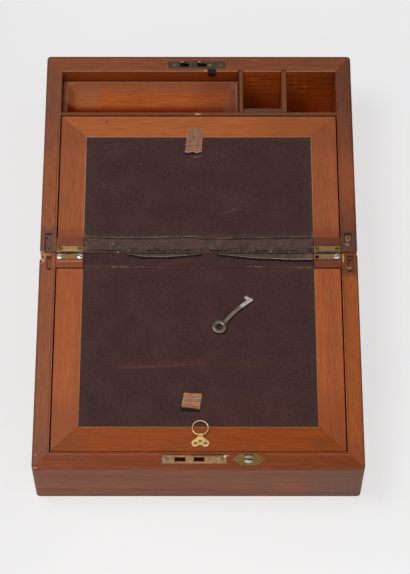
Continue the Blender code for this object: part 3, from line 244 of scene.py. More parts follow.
# Rolled and pressed brass, iron or steel, handled and tarnished: film in patches, bright rubbed arrises, scratches
def oldMetal(name, tones, roughness, film=0.5, grime=0.6, metal=0.6, marks=()):
    made, add, shader, place = newMaterial(name)
    patches = add("TexNoise", {"Vector": place, "Scale": 1 / (tarnish["patch"] * mm), "Detail": 4.0,
                               "Distortion": 0.3})
    patches = add("MapRange", (patches, 0.40, 0.66))
    fine = add("TexNoise", {"Vector": place, "Scale": 1 / (tarnish["fine"] * mm), "Detail": 3.0})
    across = 1000 * tarnish["scratchesPerMm"]
    drawn = add("Mapping", {"Vector": place, "Scale": (1000 / tarnish["scratchLong"], across, across)})
    scratches = add("TexNoise", {"Vector": drawn, "Scale": 1.0, "Detail": 2.0})
    scratches = add("MapRange", (scratches, 0.62, 0.72))
    share = add("Math", (patches, film), operation="MULTIPLY")
    dirt = add("MapRange", (fine, 0.55, 0.75, 0, grime))
    rounded, edge = arris(add, tarnish["edge"])
    bright = add("Math", (edge, scratches), operation="MAXIMUM")
    bright = add("Math", (bright, 0.5), operation="MULTIPLY")
    slot = add("Attribute", out="Fac", attribute_name="slot")
    colour = tones["clean"]
    for mask, tone in ((share, tones["film"]), (dirt, tones["grime"]), (bright, tones["bright"]),
                       (slot, tarnish["slotShade"])):
        colour = add("Mix", {0: mask, 6: colour, 7: tone}, **rgba)
    if marks:
        colour = layMarks(add, colour, rimPlace(add, place), fine, marks)
    bump = add("Bump", {"Strength": 0.3, "Distance": 0.08 * mm, "Height": fine, "Normal": rounded})
    setInputs(made.node_tree, shader, {
        "Base Color": colour, "Metallic": metal, "Normal": bump,
        "Roughness": add("MapRange", (patches, 0, 1, roughness - 0.08, roughness + 0.10))})
    return made


def shade(tone, share):
    return "#" + "".join(f"{min(255, round(int(tone[i:i + 2], 16) * share)):02x}" for i in (1, 3, 5))


def cuts(tone, edge="#a9764f", spread=0.2):
    # one board's colour in its dark, middling and pale streaks and its pores, and the bare wood of its arrises
    dark, light, pore = (shade(tone, 1 + k * spread) for k in (-1, 1, -2.2))
    return dict(dark=dark, mid=tone, light=light, pore=pore, edge=edge)


dullTones = cuts("#7a4322", spread=0.36)
rawWood, holeShade, paleChip, deepRed = "#553a2b", "#1d120b", "#cf9f78", "#8c3a0e"
wellPaintedLight, gapShade, innerDark, outerEdgeShade = "#dd6a24", "#160c07", "#40210f", "#47291f"

# each mark: tone, share, then its middle and its reach along x, up the slope and square to it, in mm
# holeShade is painted shade: the dark of the old screw holes and the shadow line at the far edge of each old hinge
# recess
sideMarks = [
    (holeShade, 0.9, -145.7, 16.0, -2.4, 1.0, 1.1, 4), (holeShade, 0.9, -144.4, 5.2, -2.4, 0.9, 1.0, 4),
    (holeShade, 0.9, -143.2, -5.7, -2.4, 1.2, 1.0, 4), (holeShade, 0.9, -143.0, -16.8, -2.4, 1.3, 1.3, 4),
    (paleChip, 0.95, -151.2, -4.9, -4, 4.0, 6.4, 9), ("#c98659", 0.35, -146.5, -2.2, 0, 4.5, 1.3, 3),
    (paleChip, 0.5, -149.8, -219.3, 0, 1.3, 0.7, 2), ("#b5794f", 0.5, -149.0, -207.5, 0, 1.4, 1.0, 2),
    (holeShade, 0.7, -144.3, 20.5, 0, 3.6, 0.7, 3)]
rightMarks = [
    ("#a0703a", 0.7, 143.8, 15.8, -2.0, 2.6, 3.0, 4), (holeShade, 0.8, 144.1, 16.6, -2.4, 1.1, 1.3, 4),
    (holeShade, 0.9, 145.3, -7.4, -2.4, 0.9, 1.8, 4), (holeShade, 0.85, 145.2, -18.8, -2.4, 1.4, 1.0, 4),
    ("#9c7a68", 0.6, 142.6, 9.2, -2.0, 3.0, 1.7, 4), ("#b08a6c", 0.6, 143.9, -15.8, -2.0, 2.6, 1.3, 4),
    (paleChip, 0.8, 138.6, -6.2, 0, 0.7, 4.6, 4), (holeShade, 0.7, 143.9, 20.8, 0, 4.2, 0.7, 3)]
# each zone: tone, share, lowest and highest corner on the slope, and the feather
leftZones = [
    (deepRed, 0.8, (-137.25, 16, -90), (0, 230, -1.0), 0.2),
    ("#66503e", 0.6, (-148.0, -0.2, -3.4), (-140.6, 20.5, -1.0), 0.4),
    (rawWood, 0.35, (-145.8, -19.2, -3.4), (-140.0, -4.0, -1.0), 0.4),
    (innerDark, 0.6, (-139.0, 16, -1.2), (-138.6, 152.5, 1), 0.3),
    (innerDark, 0.6, (-138.7, -204, -1.2), (-138.3, -16, 1), 0.3),
    # outerEdgeShade is painted shade on the rounded outer edges
    (outerEdgeShade, 0.35, (-154, -222, -9), (-151.0, 222, 1), 1.5), ("#4a3630", 0.5, (-154, -0.2, -8), (-139, 24, 1), 7),
    ("#553a30", 0.45, (-154, 160, -4), (-136, 224, 1), 60), ("#6a4030", 0.45, (-154, -224, -4), (-136, -200, 1), 40)]
rightZones = [
    (deepRed, 0.8, (0, 16, -90), (137.25, 230, -1.0), 0.2),
    (rawWood, 0.6, (139.8, 6.6, -3.4), (147.9, 20.6, -1.0), 0.4),
    (rawWood, 0.5, (142.3, -21.4, -3.4), (148.5, -3.4, -1.0), 0.4),
    (innerDark, 0.5, (138.6, 16, -1.2), (139.0, 152.5, 1), 0.3),
    (innerDark, 0.5, (138.3, -204, -1.2), (138.7, -16, 1), 0.3),
    # outerEdgeShade is painted shade on the rounded outer edges, strongest at the right, away from the lamp
    (outerEdgeShade, 0.65, (151.0, -0.2, -9), (154, 222, 1), 0.8),
    (outerEdgeShade, 0.55, (151.6, -222, -9), (154, -0.2, 1), 0.6), ("#453630", 0.55, (138, -0.2, -8), (154, 22, 1), 5),
    ("#4e3226", 0.45, (138, 165, -4), (154, 224, 1), 30), ("#94502c", 0.5, (138, 70, -4), (154, 90, 1), 30),
    ("#5c3420", 0.75, (138, -22, -8), (154, -0.2, 1), 6), ("#743a1e", 0.5, (136, -222, -4), (154, -200, 1), 12)]
# the wells' back board shows dark and pale grain, drawn wider than real lines
wellGrain = [("#6a2a0c", 0.6, x, 203.3, w, reach, 2, 0.9) for x, w, reach in (
    (58, -9, 15), (70, -14, 13), (55, -20, 12), (66, -26, 16), (98, -8, 14), (125, -12, 15), (104, -17, 18),
    (128, -22, 13), (96, -24, 13), (112, -31, 20), (62, -33, 14), (74, -42, 12), (104, -41, 16), (126, -46, 14),
    (60, -50, 13), (112, -55, 18), (98, -63, 12), (124, -66, 14), (70, -60, 14))]
wellGrain += [("#b4531a", 0.5, x, 203.3, w, reach, 2, 1.1) for x, w, reach in (
    (116, -37, 15), (108, -50, 14), (128, -58, 12), (76, -53, 9))]
# the dark mark low at the left of the left well is a painted shadow beside the divider
farMarks = [
    *wellGrain, ("#2a0e04", 0.5, 45, 203.3, -74, 9, 3, 16), ("#e0b68a", 0.6, 108.3, 203.2, -27, 2.4, 2, 0.7),
    ("#c98d6d", 0.8, 7.0, 204.4, 0, 1.7, 0.8, 2)]
# painted shade and light on the wells' back board: darker towards its top and paler low at the right, in steps that
# the grain hides; the bay's back board is painted paler at the left
wellPaintedShading = [("#9a4216", 0.75 - 0.12 * i, (42, 195, -4.2 - 3 * i), (140, 203.6, -1.2 - 3 * i), 0.2) for i in range(6)]
wellPaintedShading += [(tone, share, (left, 195, low), (right, 203.6, high), 0.2) for tone, share, left, right, low, high in (
    *[("#6e2c0c", 0.25, left, 140, low, -1.2) for left, low in ((91, -26), (99, -34), (109, -46))],
    *[("#6e2c0c", 0.07, 50 + 4 * i, 85, -20 - 2 * i, -1.2) for i in range(5)], ("#c8602a", 0.25, 68, 85, -90, -60),
    ("#c8602a", 0.22, 104, 140, -90, -62), ("#c8602a", 0.25, 118, 140, -90, -54),
    ("#b05a2c", 0.12, -140, 0, -90, -1.2), ("#b05a2c", 0.15, -140, -70, -90, -1.2))]
farZones = [
    (deepRed, 0.85, (-140, 195, -90), (40, 203.6, -1.2), 0.2),
    # wellPaintedLight: the wells' back board painted a brighter red than its wood, painted light against the well's
    # shade
    (wellPaintedLight, 0.85, (42, 195, -90), (140, 203.6, -1.2), 0.2), *wellPaintedShading,
    # a painted highlight along the far rim's inner arris
    ("#b57c60", 0.5, (-137, 203.1, -0.9), (137, 203.9, 0), 0.25),
    # outerEdgeShade is painted shade on the far rounded outer edge
    (outerEdgeShade, 0.5, (-154, 219.8, -9), (154, 223, 1), 0.8)]
nearMarks = [
    # the dark strips along the strike plate's far edge are painted shadow
    ("#3a1a0b", 0.75, 9, -207.2, 0, 15, 0.7, 3), ("#c9a27a", 0.7, 26.4, -208.2, 0, 1.6, 0.6, 2),
    ("#3a1a0b", 0.5, -20, -207.3, 0, 9, 0.5, 3), (paleChip, 0.6, -149.2, -220.3, 0, 2.2, 0.5, 2)]
nearZones = [
    *[("#4e3c36", 0.14, (x, -225, -70), (154, -220.9, -1.5), 0.6) for x in (96, 112, 126, 138)],
    ("#a56c49", 0.35, (-140, -207.5, -1), (-36, -207.0, 1), 0.3),
    ("#a56c49", 0.35, (64, -207.5, -1), (140, -207.0, 1), 0.3)]
foldMarks = [
    ("#c07a4d", 0.6, -123.5, -9.4, 0, 14, 0.6, 3), ("#6b2c10", 0.6, -121, -12.0, 0, 8, 0.5, 3),
    ("#6b2c10", 0.55, -122, 10.5, 0, 9, 0.5, 3), ("#6b2c10", 0.5, 121, 11.5, 0, 8, 0.5, 3),
    ("#4a2312", 0.6, 124, -8.2, 0, 13, 0.5, 3), ("#4a2312", 0.6, 124, 8.4, 0, 13, 0.6, 3),
    ("#2c1c10", 0.8, 113.8, -4.1, -2, 2.2, 2.2, 6)]
foldZones = [
    ("#633926", 0.75, (-140, 6.5, -8), (140, 16.6, 1), 1.0), ("#744128", 0.6, (-140, -17, -8), (140, -6, 1), 1.0),
    # the two dark zones at the fold are painted shade in the gap between the hinge walls
    ("#502a1c", 0.5, (108, -17, -8), (140, 17, 1), 1.5), ("#3b2621", 0.95, (-112, -1.7, -2.6), (112, 1.7, 3), 0.3),
    (gapShade, 0.85, (-140, -0.6, -2.6), (140, 0.6, 3), 0.25)]
# painted light: the wells' floors are paler towards the right of each well
wellFloorPaintedLight = [
    ("#c0713f", 0.6, (68, 150, -95), (84, 204, -55), 8), ("#c0713f", 0.6, (112, 150, -95), (140, 204, -55), 14)]
ledgeZone = [("#54402f", 0.85, (44, 156.5, -12), (83, 163, -1.5), 0.3)]
# painted shade: a dark strip along the left of the left divider's top, for the shadowed gap beside the tray
dividerPaintedShade = [("#35190c", 0.85, (39.0, 150, -3), (40.7, 206, 1.5), 0.2)]
topZone = [("#63442e", 0.8, (-160, 0, -2.4), (160, 230, 1), 0.3)]
trayZones = [
    # the deep orange band near the partition is painted shade with the partition's reflected colour
    ("#661c00", 1.0, (-131, 156, -40), (38, 171, 0), 8), ("#8a5a45", 0.5, (-137, 195, -40), (40, 202, -5), 3),
    ("#8f5c40", 0.45, (-137, 180, -40), (-104, 202, -5), 7), ("#63341a", 0.35, (10, 156, -40), (40, 202, -5), 22),
    ("#70493a", 0.5, (29, 166, -40), (40, 202, -5), 5), ("#95624b", 0.45, (-137, 156, -40), (-132.5, 202, -5), 1.2),
    ("#c0917a", 0.6, (-137, 200.2, -16.5), (40, 202, -5), 0.3),
    ("#a9765e", 0.5, (37.9, 160, -16.5), (40, 202, -5), 0.3)]
partitionMarks = [("#b98a6c", 0.85, -1.0, 154.4, -1.2, 3.0, 1.1, 2)]
farRailMarks = [("#8a3416", 0.85, -91.5, 145.3, -2.2, 1.6, 1.6, 2)]
# the rails' arrises beside the leather are rubbed pale; the rails are darker at the fold and at their mitres
farRailZones = [
    ("#b98a68", 0.45, (-110.6, 128.1, -4), (110.6, 128.9, 0), 0.3),
    ("#b57c5a", 0.35, (-136, 151.3, -4), (136, 152.2, 0), 0.3), ("#80421e", 0.45, (80, 126, -5), (138, 154, 0), 40)]
nearRailZones = [
    ("#b98a68", 0.2, (-110.6, -179.8, -4), (110.6, -178.9, 0), 0.3),
    ("#70380f", 0.45, (-140, -206, -5), (-112, -196, 0), 14), ("#70340c", 0.4, (112, -206, -5), (140, -196, 0), 14)]
upperRailZones = [
    ("#b98a68", 0.45, (-111.3, 16, -4), (-110.4, 129, 0), 0.3),
    ("#b98a68", 0.3, (110.4, 16, -4), (111.3, 129, 0), 0.3), ("#74361f", 0.5, (-140, 15, -5), (140, 22, 0), 9),
    ("#7a4020", 0.4, (-140, 124, -5), (140, 154, 0), 20)]
lowerRailZones = [
    ("#b98a68", 0.2, (-111.3, -179, -4), (-110.4, -16, 0), 0.3),
    ("#b98a68", 0.15, (110.4, -179, -4), (111.3, -16, 0), 0.3),
    ("#7c3a0c", 0.35, (108, -206, -5), (138, -186, 0), 18), ("#84421f", 0.62, (-140, -206, -5), (-108, -164, 0), 24),
    ("#7c3a0c", 0.4, (108, -206, -5), (138, -158, 0), 24)]
# each board: name, tone, spread of its streaks, axis of its grain, marks, zones, tones of its outer faces
boards = dict(
    farWall=("far_wall", "#784329", 0.22, 0, farMarks, farZones, dullTones),
    nearWall=("near_wall", "#793712", 0.2, 0, nearMarks, nearZones, dullTones),
    leftWalls=("left_walls", "#894c2e", 0.18, 1, sideMarks, leftZones, dullTones),
    baseRight=("base_right", "#733e27", 0.2, 1, rightMarks, rightZones, dullTones),
    lidRight=("lid_right", "#954c21", 0.16, 1, rightMarks, rightZones, dullTones),
    foldWalls=("fold_walls", "#96492a", 0.2, 0, foldMarks, foldZones, dullTones),
    farRail=("far_rail", "#9e552a", 0.15, 0, farRailMarks, farRailZones, None),
    nearRail=("near_rail", "#8a3d07", 0.18, 0, [], nearRailZones, None),
    upperRails=("upper_rails", "#914e2b", 0.13, 1, [], upperRailZones, None),
    lowerRails=("lower_rails", "#9a5028", 0.14, 1, [], lowerRailZones, None))
wood = {key: mahogany("mahogany_" + name, cuts(tone, spread=spread), along, marks=marks, zones=zones, outside=faces)
        for key, (name, tone, spread, along, marks, zones, faces) in boards.items()}
# the inner boards were never polished
innerTones = cuts("#8a3a12", "#8d6245")
wood["across"] = mahogany("mahogany_inner_across", innerTones, 0, 0.6, 0.0, partitionMarks,
                          topZone + ledgeZone + wellFloorPaintedLight)
wood["deep"] = mahogany("mahogany_inner_deep", innerTones, 1, 0.6, 0.0, zones=topZone + dividerPaintedShade)
wood["tray"] = mahogany("mahogany_tray", cuts("#9c4f24", "#a97b5c"), 0, 0.5, 0.0, zones=trayZones)

# each metal: name, tones of clean metal, film, grime and rubbed edges, roughness, then its other settings
metals = dict(
    # each hinge's dark line along its knuckle is painted shade, and the left one's pale line beyond it a painted
    # highlight on the barrel
    leftHinge=("brass_hinge_left", "#a07a4c #7d5e39 #432f1b #e0c592", 0.46, dict(film=0.6, grime=0.75, marks=[
        ("#20150b", 0.9, -123.5, -0.75, 0.4, 15, 0.75, 4), ("#5c4428", 0.6, -133.2, 4.3, -0.5, 3.2, 3.0, 2),
        ("#6b5334", 0.55, -123.5, -4.4, -0.5, 13, 3.2, 2), ("#d9bd86", 0.5, -123, 2.0, -0.5, 10, 0.7, 3)])),
    rightHinge=("brass_hinge_right", "#94784f #75603f #3d3120 #c4ad7c", 0.45, dict(film=0.6, grime=0.75, marks=[
        ("#1d150c", 0.9, 123.5, -0.75, 0.4, 15, 0.75, 4)])),
    # the strike plate's dark strip along its far edge is painted shadow
    strike=("brass_strike", "#9a734a #7f5c3a #4a3422 #dcc49a", 0.48, dict(film=0.7, grime=0.7, marks=[
        ("#d8d0c0", 0.9, 24.6, -208.6, -0.5, 1.4, 1.2, 2), ("#4a3522", 0.7, 8, -208.3, -0.5, 18, 0.8, 2),
        ("#756a5e", 0.7, -32.0, -211.5, -0.5, 4.5, 4.5, 2)])),
    # the ring plate's pale lobes and dark centres are painted highlights and painted shade for its stamped relief
    pull=("brass_pull", "#cbab66 #a8884a #6a5427 #f2e2b0", 0.36, dict(film=0.4, grime=0.3, marks=[
        ("#e2c784", 0.7, -2.9, -195.9, -1, 3.2, 2.5, 2), ("#e2c784", 0.7, 6.5, -195.9, -1, 3.2, 2.5, 2),
        ("#e2c784", 0.6, 1.8, -193.6, -1, 3.0, 2.2, 2), ("#57431a", 0.9, -2.75, -195.9, -1, 2.1, 1.5, 2),
        ("#57431a", 0.9, 6.35, -195.9, -1, 2.1, 1.5, 2), ("#6a5424", 0.85, 1.8, -193.8, -1, 2.0, 1.3, 2)])),
    ring=("brass_ring", "#dcc092 #b4955c #7a6234 #fff0d0", 0.3, dict(film=0.4, grime=0.2)),
    # the dark mark on the lozenge plate at its screw's far edge is painted shade in the countersink
    dark=("brass_tarnished", "#785829 #644a20 #3d2d15 #ab9258", 0.5, dict(marks=[
        ("#2a2010", 0.8, 46.0, -207.4, -0.5, 4.4, 1.2, 2)])),
    lock=("brass_lock_plate", "#4b4033 #3c3124 #271f16 #7d705a", 0.55, dict(marks=[
        ("#8f7440", 0.8, 11.0, 211.0, -0.5, 1.6, 1.4, 2)])),
    # the bolt's pale marks are painted highlights on its hooks' tops
    bolt=("brass_bolt", "#352b1f #271f16 #17110b #6b5f49", 0.5, dict(marks=[
        ("#a0907a", 0.75, -15.6, 212.4, 5.2, 5, 2, 0.8), ("#a0907a", 0.75, 1.8, 212.4, 5.2, 5, 2, 0.8)])),
    zinc=("zinc_plated_steel", "#d4d3cf #b4b2ad #85817a #f6f6f4", 0.34, dict(film=0.4, grime=0.3)),
    # the iron tab's paler tip is a painted highlight
    iron=("black_iron", "#221b19 #191311 #110c0a #6b645f", 0.45, dict(marks=[
        ("#4d423b", 0.8, 13.1, 203, -6.2, 1.8, 4, 0.9)])),
    # the key's pale mark near its tip is a painted highlight
    key=("key_steel", "#9c8a7a #7d6c5e #4a3e35 #d6cfc6", 0.27, dict(metal=0.85, marks=[
        ("#5f5049", 0.55, 19.4, -78.6, 0, 7.6, 7.6, 8), ("#f0e4d8", 0.85, 45.5, -53.5, 0, 8, 6, 8)])),
    steel=("screw_steel", "#6d6359 #50473d #2c251e #b4aea4", 0.4, {}),
    worn=("worn_steel", "#a59b86 #877c66 #4c4432 #e2ddce", 0.42, {}))
metal = {key: oldMetal(name, dict(zip(("clean", "film", "grime", "bright"), tones.split())), roughness, **others)
         for key, (name, tones, roughness, others) in metals.items()}
print("woods and metals mixed")

# the CAD pieces that each wood and metal goes on
finishes = dict(
    farWall="base_far_wall lid_panel", nearWall="lid_near_wall", leftWalls="base_left_wall lid_left_wall",
    baseRight="base_right_wall", lidRight="lid_right_wall", foldWalls="base_hinge_wall lid_hinge_wall",
    farRail="upper_flap_far_rail", nearRail="lower_flap_near_rail",
    upperRails="upper_flap_left_rail upper_flap_right_rail", lowerRails="lower_flap_left_rail lower_flap_right_rail",
    across="base_floor partition well_ledge upper_flap_panel lower_flap_panel",
    deep="divider_left divider_right upper_flap_ledge_left upper_flap_ledge_right lower_flap_ledge_left "
         "lower_flap_ledge_right pen_tray_rest_left pen_tray_rest_right",
    leftHinge="hinge_left_base_leaf hinge_left_lid_leaf hinge_left_pin",
    rightHinge="hinge_right_base_leaf hinge_right_lid_leaf hinge_right_pin",
    dark="lozenge_plate keyhole_escutcheon", lock="lock_selvedge lock_case", bolt="lock_bolt",
    strike="lock_strike_plate", iron="lock_tab", pull="ring_plate", ring="pull_ring", key="key")
for key, names in finishes.items():
    material = wood[key] if key in wood else metal[key]
    for item in (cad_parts[name] for name in names.split()):
        if not item.material_slots:
            item.data.materials.append(material)
        for slot in item.material_slots:
            slot.material = material
print("CAD pieces finished")


def ripple(x, v, length, seed):
    # six plane waves with set directions and phases, added up: about -1 to 1, crests some `length` mm apart
    dice, count = np.random.default_rng(seed), 6
    turn, phase = dice.uniform(0, math.pi, count), dice.uniform(0, 2 * math.pi, count)
    pitch = length * dice.uniform(0.7, 1.4, count)
    waves = [np.sin(2 * math.pi * (x * math.cos(a) + v * math.sin(a)) / p + f) for a, p, f in zip(turn, pitch, phase)]
    return sum(waves) / (count / 2)


def clamp(value):
    return np.clip(value, 0, 1)


def ridge(distance, half):
    # a bell: 1 on the line, nearly 0 at twice the half width
    return np.exp(-((distance / half) ** 2))


def gridFaces(index):
    return np.stack((index[:-1, :-1], index[:-1, 1:], index[1:, 1:], index[1:, :-1]), axis=-1).reshape(-1, 4)


def setField(mesh, key, values):
    mesh.attributes.new(key, "FLOAT", "POINT").data.foreach_set("value", values.astype(np.float32))


def addPiece(name, mesh, material, sharp):
    mesh.shade_smooth()
    mesh.set_sharp_from_angle(angle=math.radians(sharp))
    mesh.materials.append(material)
    item = bpy.data.objects.new(name, mesh)
    bpy.context.scene.collection.objects.link(item)
    return item


def makeShells(name, shells, material):
    # each shell is an upper and a lower grid of points, joined by a wall round their edges; its fields are
    # numbers at the points, kept as attributes for the material
    points, quads, fields, first = [], [], {}, 0
    for upper, lower, values in shells:
        rows, columns = upper.shape[:2]
        count = rows * columns
        index = first + np.arange(count).reshape(rows, columns)
        face = gridFaces(index)
        loop = np.concatenate((index[0, :-1], index[:-1, -1], index[-1, :0:-1], index[:0:-1, 0]))
        after = np.roll(loop, -1)
        wall = np.stack((loop + count, after + count, after, loop), axis=-1)
        points += [upper.reshape(-1, 3), lower.reshape(-1, 3)]
        quads += [face, face[:, ::-1] + count, wall]
        for key, value in values.items():
            flat = np.broadcast_to(value, (rows, columns)).reshape(-1)
            fields.setdefault(key, []).append(np.concatenate((flat, flat)))
        first += 2 * count
    mesh = bpy.data.meshes.new(name)
    mesh.from_pydata(np.concatenate(points).tolist(), [], np.concatenate(quads).tolist())
    for key, value in fields.items():
        setField(mesh, key, np.concatenate(value))
    return addPiece(name, mesh, material, sharp=55)


# pen tray: a block hollowed like a cove, with narrow lips; it stands for the CAD block and keeps its outline
tray = dict(left=4.4, right=1.3, sides=0.9, deep=9.5, sideReach=9.0, endReach=12.0, columns=120, rows=60, lipSteps=3)


def makeTray():
    # the hollow's depth is the full depth times a quarter sine of the way in from the sides, times one from the ends
    low, high = (np.array(corner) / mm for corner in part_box("pen_tray"))
    left, right = low[0] + tray["left"], high[0] - tray["right"]
    near, far = low[1] + tray["sides"], high[1] - tray["sides"]

    def stations(start, lipIn, lipOut, stop, count):  # a few on each lip, and many across the hollow
        return np.concatenate((np.linspace(start, lipIn, tray["lipSteps"]), np.linspace(lipIn, lipOut, count)[1:-1],
                               np.linspace(lipOut, stop, tray["lipSteps"])))

    x = stations(low[0], left, right, high[0], tray["columns"])[None, :]
    y = stations(low[1], near, far, high[1], tray["rows"])[:, None]
    ends = np.sin(math.pi / 2 * clamp(np.minimum(x - left, right - x) / tray["endReach"]))
    sides = np.sin(math.pi / 2 * clamp(np.minimum(y - near, far - y) / tray["sideReach"]))
    upper, lower = mm * gridPoints(x, y, high[2] - tray["deep"] * ends * sides), mm * gridPoints(x, y, low[2])
    piece = makeShells("scooped_pen_tray", [(upper, lower, {})], wood["tray"])
    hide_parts("pen_tray")
    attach(piece, "pen_tray")


makeTray()

# glue lines: thin plates of hide glue and wood dust that close the mitres; inner and outer ends on the slope, in mm
glue = dict(width=0.27, sunk=0.05, wallTop=-0.4, wallDeep=20.0, railDeep=7.5, along=14, down=4)


def makeGlue(name, body, inner, outer, top, deep, down, material, slotName):
    # each plate runs from the inner to the outer end and goes down by `deep`; both hands are mirror images
    shells = []
    t, fall = np.linspace(0, 1, glue["along"])[None, :], np.linspace(deep, 0, glue["down"])[:, None]
    for hand in (-1, 1):
        line = np.array(((outer[0] - inner[0]) * hand, outer[1] - inner[1]))
        aside = np.array((line[1], -line[0])) / np.hypot(*line) * glue["width"] / 2
        x, v, w = inner[0] * hand + line[0] * t, inner[1] + line[1] * t, top - glue["sunk"] + 0 * fall
        fallen = mm * fall[..., None] * np.array(down)
        faces = [onSlope(x + k * aside[0], v + k * aside[1], w) - fallen for k in (1, -1)]
        shells.append((*faces, {}))
    piece = makeShells(name, shells, material)
    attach(piece, body)


upright, square = (0, 0, 1), (0, -slopeSin, slopeCos)
wallGlue, railGlue = (glue["wallTop"], glue["wallDeep"], upright), (slope["flapTop"], glue["railDeep"], square)
makeGlue("base_mitre_glue", "base", (137.1, 203.5), (150.6, 219.2), *wallGlue, wood["farWall"], "case_mahogany")
makeGlue("lid_mitre_glue", "lid", (137.1, -204.9), (150.6, -219.5), *wallGlue, wood["nearWall"], "case_mahogany")
makeGlue("upper_flap_mitre_glue", "upper_flap", (110.6, 128.42), (135.7, 151.83), *railGlue, wood["farRail"],
         "flap_mahogany")
makeGlue("lower_flap_mitre_glue", "lower_flap", (110.6, -178.8), (135.7, -203.36), *railGlue, wood["nearRail"],
         "flap_mahogany")
print("tray and mitres done")


# sizes in mm along x, y and z; the pebble is drawn coarser than skiver's grain
skiver = dict(
    cloud=22, pebble=(1.9, 1.0, 1.0), speckle=(3.4, 1.3, 1.3), tones=("#321e1d", "#3e2826", "#4c302e"),
    dustTones=("#443530", "#54433a", "#655349"))


# Aubergine skiver leather, glued down, rubbed and dusty: matt, finely pebbled, greyer along its borders,
# grey with dust at the fold, with pale cracks where it was bent
def makeLeather(name):
    made, add, shader, place = newMaterial(name)
    cloud = add("TexNoise", {"Vector": place, "Scale": 1 / (skiver["cloud"] * mm), "Detail": 4.0})
    drawn = add("Mapping", {"Vector": place, "Scale": [1000 / size for size in skiver["pebble"]]})
    pebble = add("TexNoise", {"Vector": drawn, "Scale": 1.0, "Detail": 3.0})
    grey = add("Math", (cloud, 0.4, pebble), operation="MULTIPLY_ADD")
    grey = add("MapRange", (grey, 0.45, 0.95))
    colour = add("ValToRGB", {"Fac": grey}, stops=skiver["tones"])
    spread = add("Mapping", {"Vector": place, "Scale": [1000 / size for size in skiver["speckle"]]})
    speckle = add("TexNoise", {"Vector": spread, "Scale": 1.0, "Detail": 4.0, "Roughness": 0.6})
    speckle = add("MapRange", (speckle, 0.32, 0.68))
    dustTone = add("ValToRGB", {"Fac": speckle}, stops=skiver["dustTones"])
    # the dark field holds painted shade under the tongues and tabs and in the crease, with the dark seams; the pale
    # field holds a painted highlight on the tongues' torn edges
    layers = [("border", "#38312f", 0.75), ("red", "#622a20", 0.7), ("dust", dustTone, 0.95),
              ("dark", "#150d0b", 0.95), ("pale", "#a9927c", 0.95)]
    for field, tone, share in layers:
        amount = add("Attribute", out="Fac", attribute_name=field)
        broken = add("MapRange", (pebble, 0.36, 0.62, 0.5 * share, share))
        mask = add("Math", (amount, broken), operation="MULTIPLY", use_clamp=True)
        colour = add("Mix", {0: mask, 6: colour, 7: tone}, **rgba)
    bump = add("Bump", {"Strength": 0.35, "Distance": 0.12 * mm, "Height": pebble})
    setInputs(made.node_tree, shader, {
        "Base Color": colour, "Normal": bump, "Specular IOR Level": 0.12,
        "Roughness": add("MapRange", (pebble, 0, 1, 0.62, 0.82))})
    return made


leather = makeLeather("aubergine_skiver")

# upper leather: one sheet from the fold over the hinge wall and up the flap
upperSheet = dict(
    half=110.2, near=0.45, far=128.0, thick=1.0, columns=190, crease=2.85, swell=0.09, lipRise=0.45, lipGroove=0.55,
    creaseDeep=0.5, ceiling=-1.35, lipX=(-110, -76, -40, -2.5, 3.3, 25, 60, 110),
    lipV=(18.1, 16.9, 17.2, 18.3, 16.6, 16.2, 16.9, 17.7))


